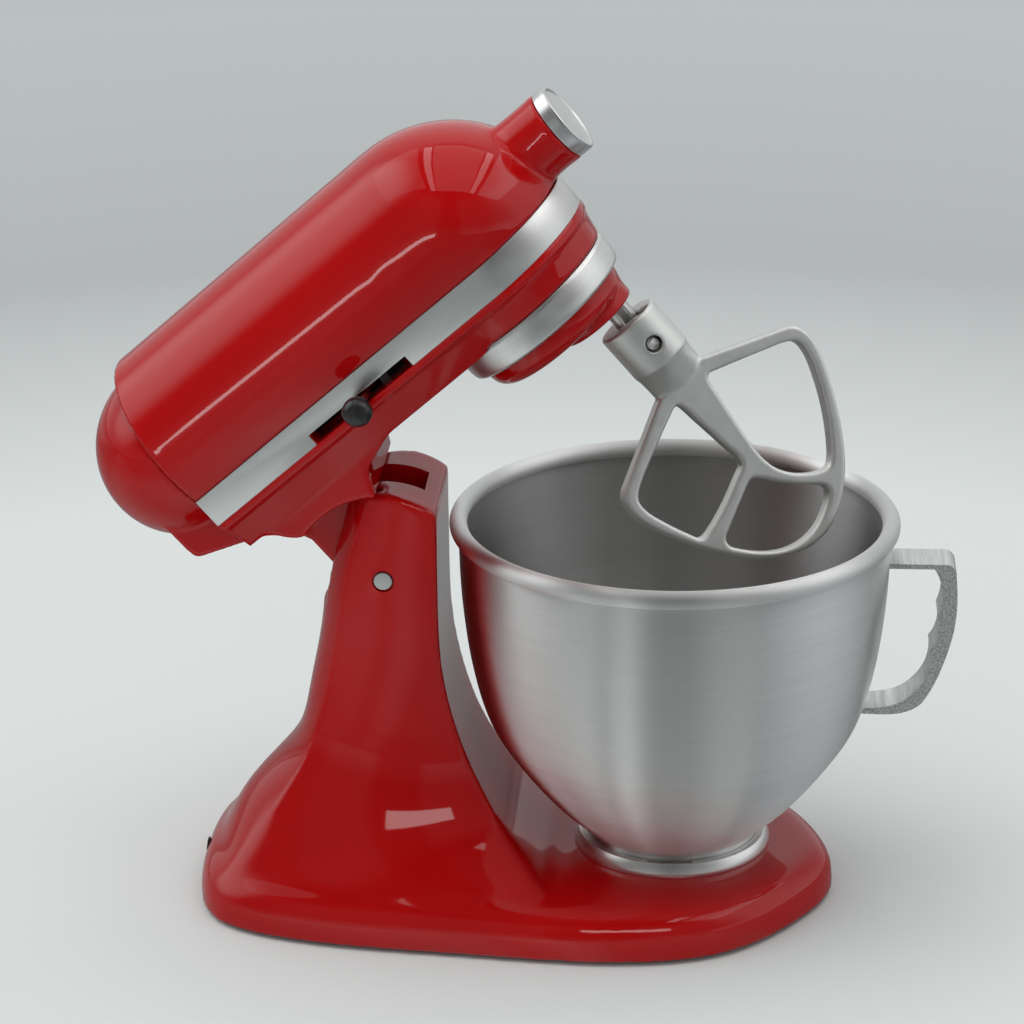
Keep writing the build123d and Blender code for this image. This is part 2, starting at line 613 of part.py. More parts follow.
def drip_ring():
    """Bright skirt round the planetary, its lower edge rolled in."""
    low, high = DRIP_RING_V
    inner = CARRIER_R + 0.9
    profile = make_face([
        Line((inner, high), (DRIP_RING_R - 0.3, high)), Line((DRIP_RING_R - 0.3, high), (DRIP_RING_R, low + 6)),
        ThreePointArc((DRIP_RING_R, low + 6), (DRIP_RING_R - 1.5, low + 1.7), (inner + 1.2, low)),
        Line((inner + 1.2, low), (inner, low + 0.6)), Line((inner, low + 0.6), (inner, high))])
    return Pos(PLANET_U, 0, 0) * revolve(Plane.XZ * profile, axis=Axis.Z)


# Planetary
def ring_gear():
    """Fixed internal gear in the neck."""
    pitch_r = PLANET_MODULE * RING_TEETH / 2
    room = gear_outline(RING_TEETH, PLANET_MODULE, -BACKLASH, pitch_r - 0.8 * PLANET_MODULE,
                        pitch_r + 1.3 * PLANET_MODULE)
    low, high = RING_GEAR_V
    blank = cylinder(0, 0, low, high, RING_GEAR_R)
    return Pos(PLANET_U, 0, 0) * (blank - Pos(0, 0, low) * extrude(room, amount=high - low))


def planet_pinion():
    """Pinion on the beater shaft, with a tooth in the ring gear's foremost gap."""
    gear = spur_gear(PLANET_TEETH, PLANET_MODULE, RING_GEAR_V[0] + 0.6, RING_GEAR_V[1] - 1.2, SHAFT_R)
    return Pos(SHAFT_U, 0, 0) * gear


def planet_carrier():
    """Red turning disc under the head, with a boss that carries the beater shaft."""
    disc = make_face([
        Line((0, 60.3), (38, 60.3)), Line((38, 60.3), (CARRIER_R, 57)), Line((CARRIER_R, 57), (CARRIER_R, 40)),
        ThreePointArc((CARRIER_R, 40), (38.6, 34), (32, 31.5)), Line((32, 31.5), (0, 31.5)),
        Line((0, 31.5), (0, 60.3))])
    body = Pos(PLANET_U, 0, 0) * revolve(Plane.XZ * disc, axis=Axis.Z)
    boss = cylinder(SHAFT_U - 10, 0, 26.5, 40, 21) & cylinder(*PLANET_AXIS, 20, 45, CARRIER_R - 1.5)
    boss = fillet(boss.edges().group_by(Axis.Z)[0], 2.0)
    body = body + boss
    body -= cylinder(SHAFT_U, 0, 20, 70, BUSH_R)
    return body - cylinder(*PLANET_AXIS, 44, 70, CENTRE_SHAFT_R)


def shaft_bushes():
    """Upper and lower bronze bushes for the beater shaft."""
    inner = SHAFT_R + PIN_RUNNING_GAP
    return [ring(SHAFT_U, 0, 27.5, 39.5, BUSH_R, inner), ring(SHAFT_U, 0, 48, 60.3, BUSH_R, inner)]


def beater_shaft():
    shaft = cylinder(SHAFT_U, 0, -12, 73, SHAFT_R)
    shaft = chamfer(shaft.edges().group_by(Axis.Z)[0], 1.0)
    return shaft - cross_pin(SHAFT_R + 5)


def cross_pin(reach):
    """Rod from the beater shaft's axis out to a reach."""
    rod = Rot(0, 90, 0) * cylinder(0, 0, 0, reach, SHAFT_PIN_R)
    return Pos(SHAFT_U, 0, PIN_V) * Rot(0, 0, PIN_TURN) * rod


def shaft_pin():
    """Drive pin that the beater's bayonet channel hooks on to."""
    return cross_pin(CHANNEL_R - 0.4)


def centre_shaft():
    shaft = cylinder(*PLANET_AXIS, 44, 104, CENTRE_SHAFT_R)
    return chamfer(shaft.edges().group_by(Axis.Z)[-1], 0.8)


def centre_bearing():
    return ring(*PLANET_AXIS, RING_GEAR_V[1] + 0.3, FLOOR_V, BEARING_R, CENTRE_SHAFT_R + PIN_RUNNING_GAP)


def centre_gear():
    gear = spur_gear(CENTRE_TEETH, JACK_MODULE, 83.4, 89.6, CENTRE_SHAFT_R, turn=mesh_turn())
    return Pos(PLANET_U, 0, 0) * gear


def mesh_turn():
    """Turn that puts a gap of the centre gear where the jack pinion has a tooth."""
    towards = degrees(atan2(JACK_Y, JACK_U - PLANET_U))
    return towards + 180 / CENTRE_TEETH


def jack_pinion():
    towards = degrees(atan2(-JACK_Y, PLANET_U - JACK_U))
    gear = spur_gear(JACK_TEETH, JACK_MODULE, 83.2, 89.8, JACK_SHAFT_R, turn=towards)
    return Pos(JACK_U, JACK_Y, 0) * gear


def jack_shaft():
    return cylinder(JACK_U, JACK_Y, FLOOR_V - 5, 124, JACK_SHAFT_R)


def worm_wheel():
    """Thin wheel above the jack pinion, driven by the worm on the armature."""
    pitch_r = WHEEL_R
    face = gear_outline(WHEEL_TEETH, WORM_MODULE, 1.0, pitch_r - 1.2 * WORM_MODULE, pitch_r + 0.6 * WORM_MODULE)
    gear = Rot(0, 0, -90) * extrude(face, amount=2.5, both=True)
    hub = cylinder(0, 0, -9, 5, 8)
    return Pos(JACK_U, JACK_Y, AXIS_V) * (gear + hub - cylinder(0, 0, -10, 10, JACK_SHAFT_R))


def worm():
    """Single-start worm on the armature shaft."""
    lead = pi * WORM_MODULE
    core_r = WORM_R - 1.3 * WORM_MODULE
    tip = WORM_R + 0.6 * WORM_MODULE
    length = 5 * lead
    path = Helix(pitch=lead, height=length, radius=core_r, center=(0, 0, -length / 2))
    root_half = 0.25 * lead + 0.1
    tip_half = 0.1 * lead
    start = Plane(origin=path @ 0, x_dir=(1, 0, 0), z_dir=path % 0)
    up = -1 if start.y_dir.Z < 0 else 1
    profile = start * make_face(Polyline(
        (-0.6, -root_half * up), (tip - core_r, -tip_half * up), (tip - core_r, tip_half * up),
        (-0.6, root_half * up), close=True))
    thread = sweep(profile, path=path, is_frenet=True)
    core = cylinder(0, 0, -length / 2 - 3, length / 2 + 3, core_r) - cylinder(0, 0, -20, 20, 3.0)
    return Pos(JACK_U, 0, AXIS_V) * Rot(0, 90, 0) * Rot(0, 0, WORM_TURN) * (core + thread)


def bevel_gears():
    """Mitre pair from the centre shaft to the attachment drive."""
    half_step = 180 / BEVEL_TEETH
    lower = bevel_gear(CENTRE_SHAFT_R, 1.0)
    front = Rot(0, -90, 0) * bevel_gear(HUB_DRIVE_R, 2.0, turn=half_step)
    place = Pos(PLANET_U, 0, AXIS_V)
    return place * lower, place * front


def hub_drive_shaft():
    """Attachment drive with a square socket in the hub's bore."""
    shaft = rod_x(PLANET_U + 18, 186, 0, AXIS_V, HUB_DRIVE_R) + rod_x(186, 200, 0, AXIS_V, 10.5)
    socket = block((189, -4.8, AXIS_V - 4.8), (201, 4.8, AXIS_V + 4.8))
    return shaft - socket


def hub_bush():
    return tube_x(174, 186, 0, AXIS_V, HUB_SHAFT_R + 4, HUB_DRIVE_R + PIN_RUNNING_GAP)


def hub_cap():
    """Plug-in cap over the attachment hub, dished inside its rim."""
    cap = rod_x(HUB_END + 0.2, HUB_END + HUB_CAP_LENGTH, 0, AXIS_V, HUB_R - 0.3)
    cap = fillet(cap.edges().group_by(Axis.X)[-1], 1.6)
    dish = rod_x(HUB_END + HUB_CAP_LENGTH - 0.6, HUB_END + 20, 0, AXIS_V, HUB_R - 3)
    spigot = tube_x(HUB_END - 7, HUB_END + 1, 0, AXIS_V, HUB_BORE_R - 0.06, HUB_BORE_R - 2.4)
    return cap - dish + spigot


def hub_knob():
    """Thumb screw on the hub's far side that grips an attachment."""
    screw = rod_y(HUB_KNOB_U, AXIS_V, HUB_BORE_R + 0.2, HUB_R + 3, HUB_SCREW_R)
    head = rod_y(HUB_KNOB_U, AXIS_V, HUB_R + 1.2, HUB_R + 13, 9.5)
    flutes = []
    for i in range(10):
        at = polar(10.4, 36 * i)
        flutes.append(rod_y(HUB_KNOB_U + at[0], AXIS_V + at[1], HUB_R + 3, HUB_R + 14, 1.6))
    return screw + (head - flutes)


# Motor
def motor_field():
    """Laminated field with two pole faces round the armature."""
    low, high = MOTOR_U
    stack = rod_x(low, high, 0, AXIS_V, MOTOR_R) - rod_x(low, high, 0, AXIS_V, 33)
    poles = rod_x(low, high, 0, AXIS_V, 34) & block((low, -40, AXIS_V - 17), (high, 40, AXIS_V + 17))
    return stack + poles - rod_x(low - 1, high + 1, 0, AXIS_V, ARMATURE_R + 0.6)


def field_coils():
    """Two windings, above and below the armature between the poles."""
    low, high = MOTOR_U
    coil = tube_x(low - 5, high + 5, 0, AXIS_V, 32.5, 24.5)
    gap = block((low - 9, -26, AXIS_V + 17.5), (high + 9, 26, AXIS_V + 40))
    upper = coil & gap
    return [upper, mirror(upper, about=Plane.XY.offset(AXIS_V))]


def armature():
    """Slotted armature core."""
    low, high = MOTOR_U
    slots = 12
    core = rod_x(low, high, 0, AXIS_V, ARMATURE_R) - rod_x(low, high, 0, AXIS_V, 4)
    for i in range(slots):
        cut = block((low - 1, -1.4, 15), (high + 1, 1.4, ARMATURE_R + 1))
        core -= Pos(0, 0, AXIS_V) * Rot(360 / slots * i, 0, 0) * cut
    return core


def armature_shaft():
    return rod_x(-33, JACK_U - 15, 0, AXIS_V, 4) + rod_x(JACK_U - 15, JACK_U + 24, 0, AXIS_V, 3)


def commutator():
    return tube_x(-20, -4, 0, AXIS_V, 13, 4)


def cooling_fan():
    """Paddle fan on the armature's front end."""
    hub = tube_x(55, 66, 0, AXIS_V, 9, 4)
    disc = tube_x(55, 56.5, 0, AXIS_V, 36, 5)
    fan = hub + disc
    for i in range(9):
        blade = block((56, -0.7, 8), (65, 0.7, 36))
        fan += Pos(0, 0, AXIS_V) * Rot(40 * i, 0, 0) * blade
    return fan


def brushes():
    """Carbon brushes either side of the commutator."""
    carbon = block((-16, 13.3, AXIS_V - 3), (-8, 24, AXIS_V + 3))
    return [carbon, mirror(carbon, about=Plane.XZ)]


def brush_holders():
    """Brass tubes that guide the brushes out to the casing's sides."""
    holder = block((-18, 16, AXIS_V - 5), (-6, 40, AXIS_V + 5))
    holder = holder - block((-16, 10, AXIS_V - 3), (-8, 41, AXIS_V + 3))
    return [holder, mirror(holder, about=Plane.XZ)]


def rear_bracket():
    """Plate behind the motor that holds its rear bearing and the brush holders."""
    plate = block((-30, -36, 62), (-25, 36, 136))
    arms = block((-25, -40, AXIS_V - 8), (-18, -28, AXIS_V + 8))
    arms = arms + block((-25, 28, AXIS_V - 8), (-18, 40, AXIS_V + 8))
    return plate + arms - rod_x(-40, 0, 0, AXIS_V, 9)


def rear_bearing():
    return tube_x(-30, -23, 0, AXIS_V, 9, 4 + PIN_RUNNING_GAP)


def gear_bracket():
    """Bridge behind the worm that holds the armature's front bearing and the jack shaft's upper end."""
    wall = block((68.5, -31, 62), (73.3, 31, AXIS_V + 14))
    wall -= rod_x(60, 90, 0, AXIS_V, 8)
    arm = block((68.5, 10, 121), (JACK_U + 9, 36, 127))
    return wall + arm - cylinder(JACK_U, JACK_Y, 110, 130, JACK_SHAFT_R + PIN_RUNNING_GAP)


def front_bearing():
    return tube_x(68.5, 75.5, 0, AXIS_V, 8, 4 + PIN_RUNNING_GAP)


# Levers
def lever(u, side):
    """Slide behind the casing wall with an arm through its slot."""
    low, high = LEVER_SLOT_V
    mid = (low + high) / 2
    arm = block((u - 3.5, LEVER_INNER_Y, mid - 1.6), (u + 3.5, HEAD_HALF + 12, mid + 1.6))
    plate = block((u - 6, LEVER_INNER_Y, mid - 1.6), (u + 6, LEVER_INNER_Y + 3.6, mid + 1.6))
    piece = arm + plate
    return piece if side > 0 else mirror(piece, about=Plane.XZ)


def lever_knob(u, side):
    """Round knob, domed at its end, pressed on a lever's arm."""
    mid = sum(LEVER_SLOT_V) / 2
    profile = make_face([
        Line((0, 8), (4.8, 8)), Line((4.8, 8), (5.2, 12)), ThreePointArc((5.2, 12), (6.9, 14), (KNOB_R, 17)),
        ThreePointArc((KNOB_R, 17), (5.4, 22.2), (1.0, 23.9)),
        Line((1.0, 23.9), (0, 23.9)), Line((0, 23.9), (0, 8))])
    knob = Pos(u, HEAD_HALF, mid) * Rot(-90, 0, 0) * revolve(Plane.XZ * profile, axis=Axis.Z)
    knob -= lever(u, 1)
    return knob if side > 0 else mirror(knob, about=Plane.XZ)


def lock_bolt():
    """Upright bolt that the lock lever drives down into the column's crown."""
    bolt = cylinder(LOCK_BOLT_U, LOCK_BOLT_Y, 46.4, 74, LOCK_BOLT_R)
    return bolt + cylinder(LOCK_BOLT_U, LOCK_BOLT_Y, 71, 74, 4.6)


# Beater
def beater_outline():
    """Shield-shaped outline of the flat beater, in its own plane."""
    left = [(-x, v) for x, v in reversed(BLADE_EDGE[:-1])]
    edge = Spline(*BLADE_EDGE, *left)
    shoulder = (15.8, -22.5)
    far_shoulder = (-15.8, -22.5)
    return make_face([
        Line(shoulder, edge @ 0), edge, Line(edge @ 1, far_shoulder), Line(far_shoulder, shoulder)])


def beater():
    """Cast flat beater: bayonet collar, a neck that flattens into a forked rib, and an outer frame."""
    flat = beater_outline() - [make_face(Spline(*window, periodic=True)) for window in BLADE_WINDOWS]
    blade = extrude(SIDE_PLANE * flat, amount=BLADE_HALF, both=True)
    rims = blade.faces().sort_by(Axis.Y)[0].edges() + blade.faces().sort_by(Axis.Y)[-1].edges()
    blade = fillet(rims, BLADE_ROUNDING)
    collar = cylinder(0, 0, COLLAR_FOOT, COLLAR_TOP, COLLAR_R)
    collar = chamfer(collar.edges().group_by(Axis.Z)[-1], 0.8)
    neck_foot = Pos(0, 0, NECK_FOOT) * Ellipse(15.5, BLADE_HALF)
    neck = loft([neck_foot, Pos(0, 0, COLLAR_FOOT) * Circle(COLLAR_R - 0.6)])
    body = Pos(SHAFT_U, 0, 0) * Rot(0, 0, BEATER_TURN) * (blade + neck + collar)
    bore = cylinder(SHAFT_U, 0, -14, COLLAR_TOP + 1, SHAFT_R + PIN_RUNNING_GAP)
    return body - bore - bayonet_slot()


def bayonet_slot():
    """Channel inside the collar, down from its top and round to a hole that shows the pin's end."""
    width = SHAFT_PIN_R + SLOT_GAP
    pocket = Rot(0, 90, 0) * cylinder(0, 0, 0, CHANNEL_R, width)
    steps = 5
    turn = BEATER_UNLOCK / steps
    track = [Rot(0, 0, turn * i) * pocket for i in range(steps + 1)]
    entry = block((0, -width, 0), (CHANNEL_R, width, COLLAR_TOP - PIN_V + 3))
    track.append(Rot(0, 0, BEATER_UNLOCK) * entry)
    track.append(Rot(0, 90, 0) * cylinder(0, 0, SHAFT_R + 2, COLLAR_R + 3, PIN_HOLE_R))
    place = Pos(SHAFT_U, 0, PIN_V) * Rot(0, 0, PIN_TURN)
    return [place * piece for piece in track]


def main():
    os.makedirs("parts", exist_ok=True)
    lower_bevel, front_bevel = bevel_gears()
    save("pedestal", pedestal())
    save("base_plate", base_plate())
    save("rubber_feet", [foot(*spot) for spot in FOOT_SPOTS])
    save("hinge_pin", hinge_pin())
    save("pin_set_screw", set_screw())
    save("cord_gland", cord_gland())
    save("clamp_ring", clamp_ring())
    save("clamp_ring_screws", ring_screws())
    save("bowl", bowl())
    save("bowl_handle", bowl_handle())
    head = {
        "motor_housing": motor_housing(), "gearcase": gearcase(), "trim_band": trim_band(),
        "rear_cover": rear_cover(), "rear_cover_screw": cover_screw(), "drip_ring": drip_ring(),
        "ring_gear": ring_gear(), "planet_carrier": planet_carrier(), "shaft_bushes": shaft_bushes(),
        "planet_pinion": planet_pinion(), "beater_shaft": beater_shaft(), "shaft_pin": shaft_pin(),
        "centre_shaft": centre_shaft(), "centre_bearing": centre_bearing(), "centre_gear": centre_gear(),
        "centre_bevel_gear": lower_bevel, "hub_bevel_gear": front_bevel, "hub_drive_shaft": hub_drive_shaft(),
        "hub_bush": hub_bush(), "hub_cap": hub_cap(), "hub_knob": hub_knob(),
        "jack_shaft": jack_shaft(), "jack_pinion": jack_pinion(), "worm_wheel": worm_wheel(), "worm": worm(),
        "motor_field": motor_field(), "field_coils": field_coils(), "armature": armature(),
        "armature_shaft": armature_shaft(), "commutator": commutator(), "cooling_fan": cooling_fan(),
        "brushes": brushes(), "brush_holders": brush_holders(), "rear_bracket": rear_bracket(),
        "rear_bearing": rear_bearing(), "gear_bracket": gear_bracket(), "front_bearing": front_bearing(),
        "lock_lever": lever(LOCK_LEVER_U, -1), "lock_knob": lever_knob(LOCK_LEVER_U, -1),
        "lock_bolt": lock_bolt(), "speed_lever": lever(SPEED_LEVER_U, 1),
        "speed_knob": lever_knob(SPEED_LEVER_U, 1), "flat_beater": beater(),
    }
    for name, shape in head.items():
        save(name, shape, in_head=True)


main()
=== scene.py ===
"""Looks of a tilt-head stand mixer. The operators dress its solids, and add a stage, lamps and a camera."""
import json
import math
import bmesh
import bpy
from bpy.props import FloatProperty, FloatVectorProperty, IntProperty, PointerProperty
from mathutils import Matrix, Vector


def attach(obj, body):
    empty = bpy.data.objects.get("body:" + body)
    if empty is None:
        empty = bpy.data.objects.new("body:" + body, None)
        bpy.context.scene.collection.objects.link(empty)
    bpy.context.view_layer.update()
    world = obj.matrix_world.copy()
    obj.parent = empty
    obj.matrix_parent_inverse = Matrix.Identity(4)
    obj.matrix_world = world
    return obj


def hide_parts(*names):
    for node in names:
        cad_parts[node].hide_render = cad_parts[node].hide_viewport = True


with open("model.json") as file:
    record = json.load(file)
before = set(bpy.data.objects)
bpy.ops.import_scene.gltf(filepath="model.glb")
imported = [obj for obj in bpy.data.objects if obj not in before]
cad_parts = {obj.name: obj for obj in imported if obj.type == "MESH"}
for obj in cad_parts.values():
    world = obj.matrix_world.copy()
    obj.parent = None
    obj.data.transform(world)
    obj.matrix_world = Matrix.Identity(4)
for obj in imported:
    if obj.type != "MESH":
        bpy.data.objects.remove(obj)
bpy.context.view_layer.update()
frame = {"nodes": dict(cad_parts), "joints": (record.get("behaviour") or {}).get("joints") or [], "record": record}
JOINTS = {joint["name"]: joint for joint in frame["joints"]}
SLOTS = {part["node"]: part["material_slot"] for part in frame["record"]["subparts"]}
HINGE = Vector(JOINTS["head_tilt"]["pos_m"])
HEAD_UP = Vector(JOINTS["planetary_spin"]["axis"])
TILT = math.atan2(-HEAD_UP.x, HEAD_UP.z)
HEAD = Matrix.Translation(HINGE) @ Matrix.Rotation(-TILT, 4, "Y")
INTO_HEAD = HEAD.inverted()
BOWL_AXIS = Vector(JOINTS["bowl_twist"]["pos_m"])
PLANET_REACH = round((INTO_HEAD @ Vector(JOINTS["planetary_spin"]["pos_m"])).x, 5)
HUB_RISE = round((INTO_HEAD @ Vector(JOINTS["hub_spin"]["pos_m"])).z, 5)
HUB_TURN = (0, math.pi / 2 - TILT, 0)

# The column's slot and holes, measured from the hinge, and the fills that shut them while its skin is made
CROWN_RADIUS = 0.0449
SLOT_HALF = 0.0131
SLOT_FRONT = 0.0196
SLOT_BACK = -0.060
SLOT_FLOOR = -0.021
SLOT_TOP = 0.060
FILL_HALF = 0.0134
FILL_FRONT = 0.0198
FILL_BACK = -0.020
FILL_FLOOR = -0.0215
PIN_FILL_RADIUS = 0.0054
PIN_HOLE_RADIUS = 0.0057
PIN_HOLE_DEPTH = 0.0024
BOLT_HOLE_RADIUS = 0.0034

# Levers and thumb screw, square to the head
LEVER_OUT = 0.0532
LEVER_RISE = 0.08105
THUMB_SCREW_REACH = 0.203

# The beater's bayonet: the hole that lets its pin in, and the channel that the pin turns in
PIN_HOLE_IN_COLLAR = 0.0043
CHANNEL_HALF = 0.00335
CHANNEL_END = 0.0146
COLLAR_OUT = 0.020
CHANNEL_STEPS = (10, 20, 30, 40)

CAMERA_TARGET = Vector((-0.00752, 0, 0.20557))

bl_info = {
    "name": "Tilt-head stand mixer",
    "version": (1, 0, 0),
    "blender": (4, 5, 0),
    "location": "3D View > Sidebar > Mixer",
    "description": "Dresses the solids of a stand mixer with castings, brushed metal and a studio",
    "category": "Object",
}


class MixerColours(bpy.types.PropertyGroup):
    """Colours of the mixer's finishes."""
    enamel: FloatVectorProperty(
        name="Enamel", description="Glossy coat of the castings", subtype="COLOR", size=3, min=0, max=1,
        default=(0.39, 0.0025, 0.003))
    steel: FloatVectorProperty(
        name="Bowl steel", description="Brushed steel of the bowl", subtype="COLOR", size=3, min=0, max=1,
        default=(0.84, 0.84, 0.825))
    trim: FloatVectorProperty(
        name="Trim", description="Brushed band and drip ring", subtype="COLOR", size=3, min=0, max=1,
        default=(0.76, 0.76, 0.745))
    cast: FloatVectorProperty(
        name="Cast metal", description="Beater and bowl handle", subtype="COLOR", size=3, min=0, max=1,
        default=(0.73, 0.735, 0.712))
    knob: FloatVectorProperty(
        name="Knob", description="Plastic of the lever knobs", subtype="COLOR", size=3, min=0, max=1,
        default=(0.012, 0.012, 0.013))


class MixerSizes(bpy.types.PropertyGroup):
    """Sizes that shape the visible pieces."""
    stand_voxel: FloatProperty(
        name="Stand mesh", description="Mesh width of the stand's casting", unit="LENGTH", default=0.00155)
    head_voxel: FloatProperty(
        name="Head mesh", description="Mesh width of the head's castings", unit="LENGTH", default=0.0012)
    beater_voxel: FloatProperty(
        name="Beater mesh", description="Mesh width of the beater", unit="LENGTH", default=0.0008)
    segments: IntProperty(
        name="Segments", description="Sides of a turned piece", default=160, min=24, max=360)
    knurls: IntProperty(
        name="Ridges", description="Grip ridges round the hub's thumb screw", default=18, min=6, max=40)


class MixerStage(bpy.types.PropertyGroup):
    """Floor, lamps and camera."""
    # The near and far floor colours are painted light and shade: a pool of light round the mixer and dimmer floor
    # beyond
    floor: FloatVectorProperty(
        name="Floor", description="Colour of the floor near the mixer", subtype="COLOR", size=3, min=0, max=1,
        default=(0.70, 0.73, 0.72))
    surround: FloatVectorProperty(
        name="Surround", description="Colour of the floor far off", subtype="COLOR", size=3, min=0, max=1,
        default=(0.47, 0.49, 0.49))
    key_power: FloatProperty(
        name="Key", description="Power of the panel overhead", unit="POWER", default=14.0)
    strip_power: FloatProperty(
        name="Strips", description="Power of each long tube", unit="POWER", default=2.2)
    panel_power: FloatProperty(
        name="Panels", description="Power of the middle panel between the tubes", unit="POWER", default=4.6)
    window_power: FloatProperty(
        name="Window", description="Power of the panel in front", unit="POWER", default=6.0)
    front_shade: FloatProperty(
        name="Front shade", description="How far the room in front dims above its horizon",
        subtype="FACTOR", default=0.62)
    side_glow: FloatProperty(
        name="Side glow", description="Brightness of the soft light that the head's top mirrors", default=3.2)
    ambient: FloatProperty(name="Ambient", description="Brightness of the room all round", default=0.77)
    mirrored: FloatProperty(
        name="Mirrored", description="Brightness of the room in reflections", default=0.85)
    ceiling: FloatProperty(name="Ceiling", description="Share of it that is left overhead", default=0.16)
    # Painted shade: how far the floor in front is dimmed where metal mirrors it
    far_floor: FloatProperty(
        name="Far floor", description="Share of the far floor that is mirrored", default=0.60)
    # Painted light: the floor pales again towards the horizon
    horizon: FloatProperty(name="Horizon", description="How much paler the floor gets far off", default=1.36)
    azimuth: FloatProperty(
        name="Azimuth", description="Camera's turn round the mixer", subtype="ANGLE",
        default=math.radians(4.09))
    elevation: FloatProperty(
        name="Elevation", description="Camera's height as an angle", subtype="ANGLE",
        default=math.radians(20.584))
    roll: FloatProperty(
        name="Roll", description="Camera's lean", subtype="ANGLE", default=math.radians(-0.514))
    distance: FloatProperty(
        name="Distance", description="Camera to its target", unit="LENGTH", default=1.8066)
    lens: FloatProperty(name="Lens", description="Focal length in millimetres", default=125.11)


class Finish:
    """A material being made, with short calls that add and join its nodes."""

    def __init__(self, name, colour, metallic=0.0, roughness=0.4):
        self.material = bpy.data.materials.new(name)
        self.material.use_nodes = True
        self.material.diffuse_color = (*colour, 1.0)
        self.tree = self.material.node_tree
        self.shader = self.tree.nodes["Principled BSDF"]
        self.colour = colour
        self.set("Base Color", (*colour, 1.0))
        self.set("Metallic", metallic)
        self.set("Roughness", roughness)

    def set(self, name, value):
        self.shader.inputs[name].default_value = value

    def node(self, kind, **settings):
        made = self.tree.nodes.new(kind)
        for name, value in settings.items():
            setattr(made, name, value)
        return made

    def join(self, output, node, socket):
        self.tree.links.new(output, node.inputs[socket])

    def place(self, location=(0, 0, 0), turn=(0, 0, 0), scale=(1, 1, 1)):
        """Object coordinates seen from a place on the piece, then stretched."""
        coordinates = self.node("ShaderNodeTexCoord")
        local = self.node("ShaderNodeMapping", vector_type="TEXTURE")
        local.inputs["Location"].default_value = location
        local.inputs["Rotation"].default_value = turn
        self.join(coordinates.outputs["Object"], local, "Vector")
        stretch = self.node("ShaderNodeMapping", vector_type="POINT")
        stretch.inputs["Scale"].default_value = scale
        self.join(local.outputs["Vector"], stretch, "Vector")
        return stretch.outputs["Vector"]

    def around(self, location=(0, 0, 0), turn=(0, 0, 0)):
        """Angle, radius and height about an axis on the piece."""
        part = self.node("ShaderNodeSeparateXYZ")
        self.join(self.place(location, turn), part, "Vector")
        angle = self.math("ARCTAN2", part.outputs["Y"], part.outputs["X"])
        flat = self.node("ShaderNodeCombineXYZ")
        self.join(part.outputs["X"], flat, "X")
        self.join(part.outputs["Y"], flat, "Y")
        length = self.node("ShaderNodeVectorMath", operation="LENGTH")
        self.join(flat.outputs["Vector"], length, 0)
        return angle, length.outputs["Value"], part.outputs["Z"]

    def vector(self, *values):
        made = self.node("ShaderNodeCombineXYZ")
        for axis, value in zip("XYZ", values):
            self.join(value, made, axis)
        return made.outputs["Vector"]

    def math(self, operation, first, second=None):
        return tree_math(self.tree, operation, first, second)

    def noise(self, vector, scale=1.0, detail=2.0, roughness=0.5):
        made = self.node("ShaderNodeTexNoise")
        made.inputs["Scale"].default_value = scale
        made.inputs["Detail"].default_value = detail
        made.inputs["Roughness"].default_value = roughness
        self.join(vector, made, "Vector")
        return made.outputs["Fac"]

    def between(self, factor, low, high, start=0.3, end=0.7):
        made = self.node("ShaderNodeMapRange")
        for name, value in (("From Min", start), ("From Max", end), ("To Min", low), ("To Max", high)):
            made.inputs[name].default_value = value
        self.join(factor, made, "Value")
        return made.outputs["Result"]

    def shade(self, factor, low, high):
        """Base colour that varies between two tones of the finish."""
        mix = self.node("ShaderNodeMix", data_type="RGBA")
        self.join(factor, mix, "Factor")
        colours = [socket for socket in mix.inputs if socket.type == "RGBA"]
        colours[0].default_value = (*(channel * low for channel in self.colour), 1.0)
        colours[1].default_value = (*(min(1, channel * high) for channel in self.colour), 1.0)
        result = [socket for socket in mix.outputs if socket.type == "RGBA"][0]
        self.join(result, self.shader, "Base Color")

    def bump(self, height, depth, strength=1.0):
        made = self.node("ShaderNodeBump")
        made.inputs["Strength"].default_value = strength
        made.inputs["Distance"].default_value = depth
        self.join(height, made, "Height")
        self.join(made.outputs["Normal"], self.shader, "Normal")
        return made


HEAD_PLACE = {"location": tuple(HINGE), "turn": (0, -TILT, 0)}
FINISHES = {}


def enamel(colour):
    """Thick gloss enamel with a faint orange peel."""
    made = Finish("Enamel", colour, roughness=0.35)
    made.set("Specular IOR Level", 0.0)
    made.set("Coat Weight", 1.0)
    made.set("Coat Roughness", 0.05)
    made.set("Coat IOR", 1.42)
    place = made.place()
    made.shade(made.between(made.noise(place, 9.0, 2.0), 0.0, 1.0), 0.93, 1.06)
    made.bump(made.noise(place, 330.0, 1.0), 0.00012, 0.35)
    return made.material


def brushed_along(name, colour, lines=2600.0, depth=0.000006, roughness=(0.32, 0.44)):
    """Metal brushed lengthwise round the head, so that its lines keep one height."""
    made = Finish(name, colour, metallic=1.0)
    streaks = made.noise(made.place(**HEAD_PLACE, scale=(7, 7, lines)), 1.0, 3.0, 0.6)
    cloud = made.noise(made.place(**HEAD_PLACE), 40.0, 2.0)
    made.shade(made.math("MULTIPLY", streaks, cloud), 0.86, 1.12)
    made.join(made.between(streaks, *roughness), made.shader, "Roughness")
    made.bump(streaks, depth, 0.5)
    return made.material


